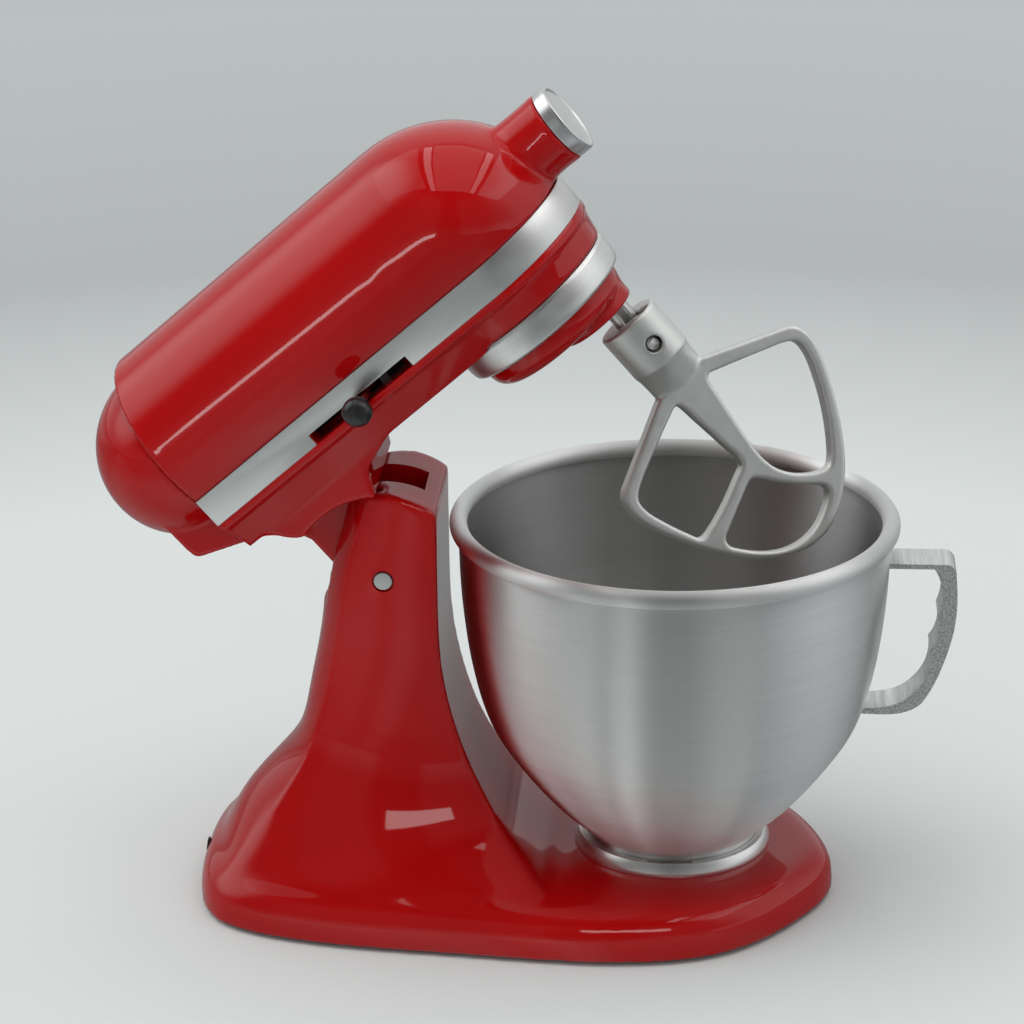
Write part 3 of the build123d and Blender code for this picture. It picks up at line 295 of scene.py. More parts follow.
def brushed_round(name, colour, location, turn=(0, 0, 0), lines=2200.0, depth=0.00001,
                  roughness=(0.24, 0.38), stretch=0.0):
    """Metal brushed round an axis, with fine rings that follow both walls and floors."""
    made = Finish(name, colour, metallic=1.0)
    angle, radius, height = made.around(location, turn)
    rings = made.vector(made.math("MULTIPLY", radius, lines), made.math("MULTIPLY", height, lines),
                        made.math("MULTIPLY", angle, 1.6))
    streaks = made.noise(rings, 1.0, 3.0, 0.65)
    wide = made.vector(made.math("MULTIPLY", radius, lines / 9), made.math("MULTIPLY", height, lines / 9),
                       made.math("MULTIPLY", angle, 0.35))
    broad = made.noise(wide, 1.0, 2.0)
    both = made.math("ADD", made.math("MULTIPLY", streaks, 0.75), made.math("MULTIPLY", broad, 0.25))
    made.shade(made.between(both, 0.0, 1.0), 0.92, 1.06)
    made.join(made.between(both, *roughness), made.shader, "Roughness")
    made.bump(streaks, depth, 0.5)
    if stretch:
        made.set("Anisotropic", stretch)
        made.set("Anisotropic Rotation", 0.25)
        tangent = made.node("ShaderNodeTangent", direction_type="RADIAL", axis="Z")
        made.join(tangent.outputs["Tangent"], made.shader, "Tangent")
    return made.material


def cast_metal(name, colour, grain=1500.0, depth=0.00012, roughness=(0.36, 0.56), strength=0.5,
               mottling=0.16, speckle=0.0):
    """Burnished casting: fine grain over a soft mottle, speckled where it was left raw."""
    made = Finish(name, colour, metallic=1.0)
    place = made.place()
    fine = made.noise(place, grain, 3.0, 0.7)
    mottle = made.noise(place, 120.0, 4.0, 0.6)
    tone = made.math("MULTIPLY", made.between(mottle, 1 - mottling, 1.0),
                     made.between(fine, 1 - speckle, 1.0, 0.40, 0.58))
    made.shade(tone, 0.0, 1 + mottling)
    both = made.math("ADD", made.math("MULTIPLY", fine, 0.5), made.math("MULTIPLY", mottle, 0.5))
    made.join(made.between(both, *roughness), made.shader, "Roughness")
    made.bump(made.math("ADD", fine, made.math("MULTIPLY", mottle, 0.6)), depth, strength)
    return made.material


def rubbed_across(name, colour):
    """Casting rubbed bright across its width, with soft light and dark streaks."""
    made = Finish(name, colour, metallic=1.0)
    streaks = made.noise(made.place(scale=(260, 6, 260)), 1.0, 4.0, 0.6)
    fine = made.noise(made.place(scale=(2600, 60, 2600)), 1.0, 2.0)
    both = made.math("ADD", made.math("MULTIPLY", streaks, 0.7), made.math("MULTIPLY", fine, 0.3))
    made.shade(made.between(both, 0.0, 1.0, 0.35, 0.62), 0.80, 1.22)
    made.join(made.between(both, 0.44, 0.28), made.shader, "Roughness")
    made.bump(fine, 0.000006, 0.5)
    return made.material


def moulded(name, colour, roughness=(0.2, 0.3), grain=700.0, depth=0.00006):
    """Plastic or rubber with a fine moulded skin."""
    made = Finish(name, colour)
    place = made.place()
    fine = made.noise(place, grain, 2.0)
    cloud = made.noise(place, 60.0, 3.0)
    made.shade(made.between(cloud, 0.0, 1.0), 0.8, 1.3)
    made.join(made.between(cloud, *roughness), made.shader, "Roughness")
    made.bump(fine, depth, 0.4)
    return made.material


def oiled_steel(name, colour):
    """Cut steel with a film of dark oil."""
    made = Finish(name, colour, metallic=1.0)
    place = made.place()
    film = made.noise(place, 130.0, 5.0, 0.65)
    cut = made.noise(made.place(**HEAD_PLACE, scale=(900, 900, 120)), 1.0, 2.0)
    made.shade(made.between(film, 0.0, 1.0), 0.45, 1.35)
    made.join(made.between(film, 0.22, 0.50), made.shader, "Roughness")
    made.bump(cut, 0.00005, 0.4)
    return made.material


def laminated(name, colour):
    """Stack of thin sheets whose edges show as fine lines along the motor."""
    made = Finish(name, colour, metallic=0.8)
    part = made.node("ShaderNodeSeparateXYZ")
    made.join(made.place(**HEAD_PLACE), part, "Vector")
    sheets = made.math("PINGPONG", made.math("MULTIPLY", part.outputs["X"], 1600.0), 1.0)
    rust = made.noise(made.place(), 90.0, 4.0)
    made.shade(made.between(rust, 0.0, 1.0), 0.7, 1.3)
    made.join(made.between(rust, 0.40, 0.60), made.shader, "Roughness")
    made.bump(sheets, 0.00012, 0.7)
    return made.material


def wound(name, colour):
    """Lacquered copper: wire lines round the motor's axis, and bars on the collector."""
    made = Finish(name, colour, metallic=1.0)
    angle, radius, _ = made.around(tuple(HEAD @ Vector((0, 0, HUB_RISE))), HUB_TURN)
    wires = made.math("PINGPONG", made.math("MULTIPLY", radius, 1200.0), 1.0)
    bars = made.math("PINGPONG", made.math("MULTIPLY", angle, 12 / math.pi), 0.5)
    cloud = made.noise(made.place(), 160.0, 3.0)
    made.shade(made.between(cloud, 0.0, 1.0), 0.75, 1.15)
    made.join(made.between(cloud, 0.24, 0.42), made.shader, "Roughness")
    made.bump(made.math("ADD", wires, made.math("GREATER_THAN", bars, 0.07)), 0.0002, 0.6)
    return made.material


def make_finishes(colours):
    """One material for each finish on the mixer, filed under its slot's name or its own."""
    nose = tuple(HEAD @ Vector((PLANET_REACH, 0, 0)))
    hub = tuple(HEAD @ Vector((0, 0, HUB_RISE)))
    bowl = (BOWL_AXIS.x, 0, 0)
    steel = tuple(colours.steel)
    # Painted shade: the bowl's inside is the same steel at 0.6 of its brightness, darker than the outside
    inside = tuple(0.60 * part for part in steel)
    cast = tuple(colours.cast)
    FINISHES.update({
        "red_enamel": enamel(tuple(colours.enamel)),
        "trim_metal": brushed_along("Brushed band", tuple(colours.trim)),
        "drip_metal": brushed_round(
            "Turned drip ring", tuple(colours.trim), nose, (0, -TILT, 0), 1800.0, 0.000002, (0.30, 0.38)),
        "bowl_steel": brushed_round("Brushed bowl", steel, bowl, roughness=(0.38, 0.47), stretch=1.0),
        "bowl_inside_shade": brushed_round(
            "Brushed bowl, inside", inside, bowl, roughness=(0.38, 0.47), stretch=1.0),
        "clamp_steel": brushed_round("Clamp ring", steel, bowl, roughness=(0.30, 0.42)),
        "handle_metal": rubbed_across("Handle, rubbed faces", cast),
        "handle_edge": cast_metal("Handle, raw edges", cast, 900.0, 0.0004, (0.45, 0.62), 0.9, 0.10, 0.45),
        "beater_metal": cast_metal("Burnished beater", cast, 1400.0, 0.00005, (0.42, 0.54), 0.4, 0.08),
        "bright_metal": brushed_round(
            "Turned cap", (0.72, 0.72, 0.715), hub, HUB_TURN, 1500.0, 0.000004, (0.26, 0.36)),
        "shaft_steel": brushed_along("Ground steel", (0.60, 0.60, 0.59), 3200.0, 0.000002, (0.26, 0.36)),
        "pin_steel": brushed_along("Sawn pin", (0.66, 0.66, 0.645), 1600.0, 0.00002, (0.40, 0.55)),
        "gear_steel": oiled_steel("Oiled gears", (0.30, 0.30, 0.31)),
        "lamination": laminated("Motor sheets", (0.20, 0.20, 0.21)),
        "bronze": oiled_steel("Bronze", (0.58, 0.40, 0.18)),
        "copper": wound("Copper", (0.72, 0.34, 0.18)),
        "black_plastic": moulded("Knob plastic", tuple(colours.knob)),
        "dark_plastic": moulded("Dark moulding", (0.035, 0.035, 0.036), (0.45, 0.6), 500.0, 0.0002),
        # Painted shade: the lever slides are a dark red that stands in for the shade in their slots
        "lever_shaded_red": moulded("Lever slide", (0.11, 0.005, 0.006), (0.30, 0.42), 400.0, 0.0001),
        "bracket_metal": cast_metal("Die cast brackets", (0.50, 0.50, 0.50), 700.0, 0.0002),
        "rubber": moulded("Rubber", (0.022, 0.022, 0.022), (0.55, 0.75), 900.0, 0.0002),
    })


def extent(node, place=Matrix()):
    """Lowest and highest corner of a solid, square to a place."""
    into_place = place.inverted()
    corners = [into_place @ vertex.co for vertex in frame["nodes"][node].data.vertices]
    return (Vector(min(co[i] for co in corners) for i in range(3)),
            Vector(max(co[i] for co in corners) for i in range(3)))


def linked(name, mesh):
    """A new object at the origin that shows a mesh."""
    made = bpy.data.objects.new(name, mesh)
    bpy.context.scene.collection.objects.link(made)
    return made


def baked(piece):
    """Turns what a piece's modifiers make into its plain mesh."""
    depsgraph = bpy.context.evaluated_depsgraph_get()
    mesh = bpy.data.meshes.new_from_object(piece.evaluated_get(depsgraph))
    piece.modifiers.clear()
    old = piece.data
    piece.data = mesh
    mesh.name = piece.name
    bpy.data.meshes.remove(old)
    return piece


def merged_copy(node, name):
    """Copy of a solid's mesh with its loose triangles joined."""
    mesh = frame["nodes"][node].data.copy()
    mesh.name = name
    mesh.materials.clear()
    work = bmesh.new()
    work.from_mesh(mesh)
    bmesh.ops.remove_doubles(work, verts=work.verts, dist=2e-6)
    work.to_mesh(mesh)
    work.free()
    return linked(name, mesh)


def smooth_by_angle(piece, degrees=32.0):
    piece.data.shade_smooth()
    piece.data.set_sharp_from_angle(angle=math.radians(degrees))


def dress(piece, body, nodes, finish):
    """Gives a finished piece its material, and puts it in place of the solids it stands for."""
    if finish is not None:
        piece.data.materials.clear()
        piece.data.materials.append(FINISHES[finish])
    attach(piece, body)
    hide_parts(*nodes)
    return piece


def show_solid(node, finish):
    """Keeps a solid as it is, with a better material."""
    slots = frame["nodes"][node].data.materials
    slots.clear()
    slots.append(FINISHES[finish])


def soft_casting(node, name, voxel, rounds, place=Matrix(), polish=60, edge=(8.0, 16.0), fills=()):
    """Even skin over a solid, laid square to a place, with rounded edges and polished open faces."""
    piece = merged_copy(node, name)
    for corners in fills:
        add_fill(piece.data, corners)
    piece.data.transform(place.inverted())
    skin = piece.modifiers.new("Skin", "REMESH")
    skin.mode = "VOXEL"
    skin.voxel_size = voxel
    skin.use_smooth_shade = True
    rounding = piece.modifiers.new("Rounding", "SMOOTH")
    rounding.factor = 0.5
    rounding.iterations = rounds
    baked(piece)
    if fills:
        keep_outer_shell(piece.data)
    smooth_weighted(piece, open_faces(piece.data, *edge), polish)
    piece.data.transform(place)
    return piece


def slab_over(node, low, high, spread):
    """Corners of a slab between two heights, a little wider than a solid's outline."""
    outline = [vertex.co for vertex in frame["nodes"][node].data.vertices]
    ends = [co.x for co in outline]
    middle = (min(ends) + max(ends)) / 2
    return [(middle + (co.x - middle) * spread, co.y * spread, height)
            for height in (low, high) for co in outline]


def add_fill(mesh, corners):
    """Adds the convex block that spans some corners, which shuts a hollow."""
    work = bmesh.new()
    work.from_mesh(mesh)
    hull = bmesh.ops.convex_hull(work, input=[work.verts.new(corner) for corner in corners])
    unused = [item for item in hull["geom_interior"] if isinstance(item, bmesh.types.BMVert)]
    bmesh.ops.delete(work, geom=unused, context="VERTS")
    work.to_mesh(mesh)
    work.free()


def cut_out(piece, corners):
    """Cuts the convex block that spans some corners out of a piece, with crisp edges."""
    mesh = bpy.data.meshes.new("cutter")
    add_fill(mesh, corners)
    tool = linked("cutter", mesh)
    cutting = piece.modifiers.new("Cut", "BOOLEAN")
    cutting.operation = "DIFFERENCE"
    cutting.solver = "EXACT"
    cutting.object = tool
    baked(piece)
    discard(tool)


def rod_points(start, end, radius, steps=64):
    """Corners of a round rod between two points."""
    side = (end - start).orthogonal().normalized()
    up = (end - start).normalized().cross(side)
    ring = [radius * (math.cos(angle) * side + math.sin(angle) * up)
            for angle in (2 * math.pi * i / steps for i in range(steps))]
    return [centre + spoke for centre in (start, end) for spoke in ring]


def keep_outer_shell(mesh):
    """Leaves only the largest of a mesh's separate shells."""
    work = bmesh.new()
    work.from_mesh(mesh)
    unseen = set(work.verts)
    shells = []
    while unseen:
        shell = [unseen.pop()]
        for vertex in shell:
            for side in vertex.link_edges:
                other = side.other_vert(vertex)
                if other in unseen:
                    unseen.discard(other)
                    shell.append(other)
        shells.append(shell)
    shells.sort(key=len)
    for shell in shells[:-1]:
        bmesh.ops.delete(work, geom=shell, context="VERTS")
    work.to_mesh(mesh)
    work.free()


def open_faces(mesh, flat, edge):
    """How far each vertex is from any edge: 1 on an open face, 0 at an edge and beside it."""
    work = bmesh.new()
    work.from_mesh(mesh)
    levels = []
    for vertex in work.verts:
        turn = max((math.degrees(side.calc_face_angle(0.0)) for side in vertex.link_edges), default=0.0)
        levels.append(max(0.0, min(1.0, (edge - turn) / (edge - flat))))
    beside = [[side.other_vert(vertex).index for side in vertex.link_edges] for vertex in work.verts]
    work.free()
    for _ in range(2):
        levels = [min(level, *(levels[other] for other in others)) if others else level
                  for level, others in zip(levels, beside)]
    return levels


def smooth_weighted(piece, weights, rounds):
    """Smooths a piece as far as each vertex's weight allows."""
    group = piece.vertex_groups.new(name="Weight")
    levels = {}
    for index, weight in enumerate(weights):
        levels.setdefault(round(10 * max(0.0, min(1.0, weight))), []).append(index)
    for level, indices in levels.items():
        group.add(indices, level / 10, "REPLACE")
    rounding = piece.modifiers.new("Weighted", "SMOOTH")
    rounding.factor = 0.5
    rounding.iterations = rounds
    rounding.vertex_group = group.name
    baked(piece)
    piece.vertex_groups.clear()
    piece.data.shade_smooth()


def blend_where(piece, weight, rounds):
    """Extra rounding where a rule gives a vertex some weight."""
    smooth_weighted(piece, [weight(vertex.co) for vertex in piece.data.vertices], rounds)


def bevelled(piece, width, angle=35.0, segments=2):
    """Flat faces joined up, and every sharp edge rounded."""
    work = bmesh.new()
    work.from_mesh(piece.data)
    bmesh.ops.dissolve_limit(work, angle_limit=math.radians(0.6), verts=work.verts, edges=work.edges)
    work.to_mesh(piece.data)
    work.free()
    edge = piece.modifiers.new("Edges", "BEVEL")
    edge.width = width
    edge.segments = segments
    edge.limit_method = "ANGLE"
    edge.angle_limit = math.radians(angle)
    edge.use_clamp_overlap = True
    baked(piece)
    smooth_by_angle(piece, angle)
    return piece


def new_tree(name, inputs):
    """Empty Geometry Nodes tree with named inputs, and its two end nodes."""
    tree = bpy.data.node_groups.new(name, "GeometryNodeTree")
    for label, kind in inputs:
        tree.interface.new_socket(name=label, in_out="INPUT", socket_type=kind)
    tree.interface.new_socket(name="Geometry", in_out="OUTPUT", socket_type="NodeSocketGeometry")
    return tree, tree.nodes.new("NodeGroupInput"), tree.nodes.new("NodeGroupOutput")


def tree_math(tree, operation, first, second=None):
    made = tree.nodes.new("ShaderNodeMath")
    made.operation = operation
    for index, value in enumerate((first, second)):
        if isinstance(value, (int, float)):
            made.inputs[index].default_value = value
        elif value is not None:
            tree.links.new(value, made.inputs[index])
    return made.outputs["Value"]


def end_tree(tree, geometry, given, out):
    """Ends a tree with plain mesh in one material."""
    real = tree.nodes.new("GeometryNodeRealizeInstances")
    paint = tree.nodes.new("GeometryNodeSetMaterial")
    tree.links.new(geometry, real.inputs["Geometry"])
    tree.links.new(real.outputs["Geometry"], paint.inputs["Geometry"])
    tree.links.new(given.outputs["Finish"], paint.inputs["Material"])
    tree.links.new(paint.outputs["Geometry"], out.inputs["Geometry"])


def turning_tree():
    """Turns a profile, given as points with radius in X and height in Z, about the Z axis."""
    tree, given, out = new_tree("Turned piece", [
        ("Profile", "NodeSocketGeometry"), ("Segments", "NodeSocketInt"), ("Finish", "NodeSocketMaterial")])
    link = tree.links.new
    size = tree.nodes.new("GeometryNodeAttributeDomainSize")
    link(given.outputs["Profile"], size.inputs["Geometry"])
    grid = tree.nodes.new("GeometryNodeMeshGrid")
    grid.inputs["Size X"].default_value = 1.0
    grid.inputs["Size Y"].default_value = 1.0
    link(tree_math(tree, "ADD", given.outputs["Segments"], 1), grid.inputs["Vertices X"])
    link(size.outputs["Point Count"], grid.inputs["Vertices Y"])
    where = tree.nodes.new("GeometryNodeInputPosition")
    across = tree.nodes.new("ShaderNodeSeparateXYZ")
    link(where.outputs["Position"], across.inputs["Vector"])
    angle = tree_math(tree, "MULTIPLY", tree_math(tree, "ADD", across.outputs["X"], 0.5), 2 * math.pi)
    last = tree_math(tree, "SUBTRACT", size.outputs["Point Count"], 1)
    share = tree_math(tree, "ADD", across.outputs["Y"], 0.5)
    row = tree_math(tree, "ROUND", tree_math(tree, "MULTIPLY", share, last))
    pick = tree.nodes.new("GeometryNodeSampleIndex")
    pick.data_type = "FLOAT_VECTOR"
    pick.domain = "POINT"
    link(given.outputs["Profile"], pick.inputs["Geometry"])
    link(where.outputs["Position"], pick.inputs["Value"])
    link(row, pick.inputs["Index"])
    profile = tree.nodes.new("ShaderNodeSeparateXYZ")
    link(pick.outputs["Value"], profile.inputs["Vector"])
    spot = tree.nodes.new("ShaderNodeCombineXYZ")
    for axis, wave in (("X", "COSINE"), ("Y", "SINE")):
        part = tree_math(tree, wave, angle)
        link(tree_math(tree, "MULTIPLY", profile.outputs["X"], part), spot.inputs[axis])
    link(profile.outputs["Z"], spot.inputs["Z"])
    move = tree.nodes.new("GeometryNodeSetPosition")
    link(grid.outputs["Mesh"], move.inputs["Geometry"])
    link(spot.outputs["Vector"], move.inputs["Position"])
    merge = tree.nodes.new("GeometryNodeMergeByDistance")
    merge.inputs["Distance"].default_value = 1e-6
    link(move.outputs["Geometry"], merge.inputs["Geometry"])
    end_tree(tree, merge.outputs["Geometry"], given, out)
    return tree


def ring_tree():
    """Sets copies of a piece evenly round the Z axis, each turned to face outwards."""
    tree, given, out = new_tree("Ring of copies", [
        ("Base", "NodeSocketGeometry"), ("Piece", "NodeSocketObject"), ("Count", "NodeSocketInt"),
        ("Radius", "NodeSocketFloat"), ("Start", "NodeSocketFloat"), ("Finish", "NodeSocketMaterial")])
    link = tree.links.new
    circle = tree.nodes.new("GeometryNodeMeshCircle")
    link(given.outputs["Count"], circle.inputs["Vertices"])
    link(given.outputs["Radius"], circle.inputs["Radius"])
    index = tree.nodes.new("GeometryNodeInputIndex")
    step = tree_math(tree, "DIVIDE", 2 * math.pi, given.outputs["Count"])
    facing = tree.nodes.new("ShaderNodeCombineXYZ")
    link(tree_math(tree, "MULTIPLY", index.outputs["Index"], step), facing.inputs["Z"])
    source = tree.nodes.new("GeometryNodeObjectInfo")
    link(given.outputs["Piece"], source.inputs["Object"])
    copies = tree.nodes.new("GeometryNodeInstanceOnPoints")
    link(circle.outputs["Mesh"], copies.inputs["Points"])
    link(source.outputs["Geometry"], copies.inputs["Instance"])
    link(facing.outputs["Vector"], copies.inputs["Rotation"])
    start = tree.nodes.new("ShaderNodeCombineXYZ")
    link(given.outputs["Start"], start.inputs["Z"])
    whole = tree.nodes.new("GeometryNodeTransform")
    link(copies.outputs["Instances"], whole.inputs["Geometry"])
    link(start.outputs["Vector"], whole.inputs["Rotation"])
    both = tree.nodes.new("GeometryNodeJoinGeometry")
    link(whole.outputs["Geometry"], both.inputs["Geometry"])
    link(given.outputs["Base"], both.inputs["Geometry"])
    end_tree(tree, both.outputs["Geometry"], given, out)
    return tree


def spots_tree():
    """Sets a copy of a piece at every point of a mesh."""
    tree, given, out = new_tree("Copies at spots", [
        ("Spots", "NodeSocketGeometry"), ("Piece", "NodeSocketObject"), ("Finish", "NodeSocketMaterial")])
    link = tree.links.new
    source = tree.nodes.new("GeometryNodeObjectInfo")
    link(given.outputs["Piece"], source.inputs["Object"])
    copies = tree.nodes.new("GeometryNodeInstanceOnPoints")
    link(given.outputs["Spots"], copies.inputs["Points"])
    link(source.outputs["Geometry"], copies.inputs["Instance"])
    end_tree(tree, copies.outputs["Instances"], given, out)
    return tree


TREES = {}


def run_tree(base, tree_name, **inputs):
    """Runs a tree on a piece, with its inputs named in lower case, and keeps the plain mesh."""
    makers = {"turned": turning_tree, "ring": ring_tree, "spots": spots_tree}
    if tree_name not in TREES:
        TREES[tree_name] = makers[tree_name]()
    tree = TREES[tree_name]
    modifier = base.modifiers.new("Made", "NODES")
    modifier.node_group = tree
    for item in tree.interface.items_tree:
        if item.in_out == "INPUT" and item.name.lower() in inputs:
            modifier[item.identifier] = inputs[item.name.lower()]
    bpy.context.view_layer.update()
    return baked(base)


def points_object(name, points):
    """Mesh of points joined in a row."""
    mesh = bpy.data.meshes.new(name)
    edges = [(i, i + 1) for i in range(len(points) - 1)]
    mesh.from_pydata(points, edges, [])
    return linked(name, mesh)


def rounded(corners, steps=5):
    """Profile through corners (radius, height, rounding) in millimetres, each corner rounded off."""
    made = []
    for index, (r, z, rounding) in enumerate(corners):
        here = Vector((r, z))
        if rounding == 0 or index in (0, len(corners) - 1):
            made.append(here)
            continue
        before = Vector(corners[index - 1][:2])
        after = Vector(corners[index + 1][:2])
        back = (before - here).normalized() * min(rounding, (before - here).length * 0.5)
        on = (after - here).normalized() * min(rounding, (after - here).length * 0.5)
        for step in range(steps + 1):
            t = step / steps
            made.append(here + back * (1 - t)**2 + on * t**2)
    return [(p.x / 1000, 0, p.y / 1000) for p in made]


def smooth_through(points, steps=8):
    """Points of a smooth curve through given points, in the same units."""
    made = []
    ends = [points[0], *points, points[-1]]
    for a, b, c, d in zip(ends, ends[1:], ends[2:], ends[3:]):
        for step in range(steps):
            t = step / steps
            made.append(tuple(
                0.5 * (2 * q + (r - p) * t + (2 * p - 5 * q + 4 * r - s) * t**2
                       + (3 * q - p - 3 * r + s) * t**3)
                for p, q, r, s in zip(a, b, c, d)))
    made.append(points[-1])
    return made


def turned(name, profile, place, finish, segments, angle=40.0):
    """A turned piece, set in its place."""
    piece = run_tree(points_object(name, profile), "turned", segments=segments, finish=FINISHES[finish])
    piece.data.transform(place)
    smooth_by_angle(piece, angle)
    return piece


def discard(piece):
    mesh = piece.data
    bpy.data.objects.remove(piece)
    bpy.data.meshes.remove(mesh)


def settings():
    scene = bpy.context.scene
    return scene.mixer_colours, scene.mixer_sizes, scene.mixer_stage


class MIXER_OT_finishes(bpy.types.Operator):
    """Makes the mixer's materials and gives them to the solids that stay as they are"""
    bl_idname = "mixer.finishes"
    bl_label = "Finishes"

    def execute(self, context):
        make_finishes(settings()[0])
        own = {"motor_field": "lamination", "armature": "lamination", "clamp_ring": "clamp_steel",
               "drip_ring": "drip_metal"}
        for node, slot in SLOTS.items():
            show_solid(node, own.get(node, slot))
        return {"FINISHED"}


class MIXER_OT_stand(bpy.types.Operator):
    """Makes the stand's enamelled casting, its column flowing into the base"""
    bl_idname = "mixer.stand"
    bl_label = "Stand"

    def execute(self, context):
        sizes = settings()[1]
        half = extent("hinge_pin")[1].y
        sides = (-FILL_HALF, FILL_HALF)
        arch = [HINGE + Vector((CROWN_RADIUS * math.cos(angle), side, CROWN_RADIUS * math.sin(angle)))
                for side in sides for angle in (math.radians(64 + 4 * i) for i in range(12))]
        sill = [HINGE + Vector((x, side, FILL_FLOOR)) for side in sides for x in (FILL_BACK, FILL_FRONT)]
        pin = rod_points(HINGE - Vector((0, half, 0)), HINGE + Vector((0, half, 0)), PIN_FILL_RADIUS)
        piece = soft_casting("pedestal", "stand_casting", sizes.stand_voxel, 4, edge=(5.0, 11.0), fills=(
            slab_over("base_plate", 0.011, 0.014, 1.03), arch + sill, pin))

        def near_foot(co):
            along = max(0.0, min(1.0, (BOWL_AXIS.x - 0.020 - co.x) / 0.060))
            return along * (1.0 - abs(co.z - 0.030) / 0.028)

        def near_crown(co):
            return (co.z - HINGE.z - 0.010) / 0.008

        blend_where(piece, near_foot, 150)
        blend_where(piece, near_crown, 8)
        cut_out(piece, [HINGE + Vector((x, y, z)) for x in (SLOT_BACK, SLOT_FRONT)
                        for y in (-SLOT_HALF, SLOT_HALF) for z in (SLOT_FLOOR, SLOT_TOP)])
        for side in (-1, 1):
            ends = [HINGE + Vector((0, side * (half + reach), 0)) for reach in (-PIN_HOLE_DEPTH, 0.004)]
            cut_out(piece, rod_points(*ends, PIN_HOLE_RADIUS))
        low, high = extent("lock_bolt", HEAD)
        bolt = HINGE + Vector(((low.x + high.x) / 2, (low.y + high.y) / 2, 0))
        ends = [bolt + Vector((0, 0, height)) for height in (0.030, SLOT_TOP)]
        cut_out(piece, rod_points(*ends, BOLT_HOLE_RADIUS))
        smooth_by_angle(piece, 50)
        dress(piece, "stand", ["pedestal"], "red_enamel")
        return {"FINISHED"}


def clear_crown(mesh, radius=0.0455, tongue=0.0112, front=0.0185, foot=0.030):
    """Keeps the casing off the column's round crown, and its tongue off the slot's front."""
    for vertex in mesh.vertices:
        at = INTO_HEAD @ vertex.co
        off_axis = math.hypot(at.x, at.z)
        if at.x > front and at.z > foot and off_axis < 0.955 * radius:
            vertex.co = HEAD @ Vector((front, at.y, at.z))
        elif (abs(at.y) > tongue or at.x > front) and at.z > 0 and 0.9 * radius < off_axis < radius:
            grown = radius / off_axis
            vertex.co = HEAD @ Vector((at.x * grown, at.y, at.z * grown))


class MIXER_OT_head(bpy.types.Operator):
    """Makes the head's enamelled castings: upper casing, gear case, rear cover and planetary"""
    bl_idname = "mixer.head"
    bl_label = "Head castings"

    def execute(self, context):
        voxel = settings()[1].head_voxel
        upper = soft_casting("motor_housing", "upper_casing", voxel, 3, HEAD)
        root, end, radius, spread = 0.165, 0.206, 0.020, 0.012

        def near_hub(co):
            at = INTO_HEAD @ co
            off_axis = math.hypot(at.y, at.z - HUB_RISE)
            along = min(1.0, (at.x - root) / 0.008, (end - at.x) / 0.018)
            return max(0.0, along) * (1.0 - abs(off_axis - radius) / spread)

        blend_where(upper, near_hub, 24)
        dress(upper, "head", ["motor_housing"], "red_enamel")
        rear, taper = -0.0376, -0.024
        edges = ((0.0410, 0.0574), (0.0501, 0.0737))
        wedge = [HEAD @ Vector((u, side * half, v))
                 for u in (rear, taper) for side in (-1, 1) for half, v in edges]
        gears = soft_casting("gearcase", "gear_casing", voxel, 3, HEAD, fills=(wedge,))
        clear_crown(gears.data)
        dress(gears, "head", ["gearcase"], "red_enamel")
        dress(soft_casting("rear_cover", "end_cover", voxel, 3, HEAD), "head", ["rear_cover"], "red_enamel")
        disc = soft_casting("planet_carrier", "planetary_disc", 0.0009, 4, HEAD, 90, (13.0, 22.0))
        dress(disc, "planetary", ["planet_carrier"], "red_enamel")
        return {"FINISHED"}


class MIXER_OT_trim(bpy.types.Operator):
    """Makes the bright band and the drip ring"""
    bl_idname = "mixer.trim"
    bl_label = "Trim"

    def execute(self, context):
        band = bevelled(merged_copy("trim_band", "bright_band"), 0.00035)
        dress(band, "head", ["trim_band"], "trim_metal")
        profile = rounded([
            (42.2, 59.4, 0), (42.2, 44.9, 0.5), (43.4, 44.2, 0.5), (46.2, 44.7, 1.8), (47.0, 49.5, 3.0),
            (46.9, 57.6, 0.6), (46.2, 59.4, 0.4), (42.2, 59.4, 0)])
        place = HEAD @ Matrix.Translation((PLANET_REACH, 0, 0))
        ring = turned("drip_band", profile, place, "drip_metal", settings()[1].segments)
        dress(ring, "head", ["drip_ring"], "drip_metal")
        return {"FINISHED"}


def arc_block(name, low_r, high_r, low, high, half_angle, steps=8):
    """Block between two radii, set back so that its inner face starts at the origin."""
    points = []
    for height in (low, high):
        for radius in (low_r, high_r):
            for step in range(steps + 1):
                angle = half_angle * (2 * step / steps - 1)
                points.append((radius * math.cos(angle) - low_r, radius * math.sin(angle), height))
    row = steps + 1
    faces = []
    for step in range(steps):
        a, b = step, step + 1
        faces.append((a, b, row + b, row + a))
        faces.append((2 * row + a, 3 * row + a, 3 * row + b, 2 * row + b))
        faces.append((row + a, row + b, 3 * row + b, 3 * row + a))
        faces.append((a, 2 * row + a, 2 * row + b, b))
    last = steps
    faces.append((0, row, 3 * row, 2 * row))
    faces.append((last, 2 * row + last, 3 * row + last, row + last))
    mesh = bpy.data.meshes.new(name)
    mesh.from_pydata(points, [], faces)
    return linked(name, mesh)


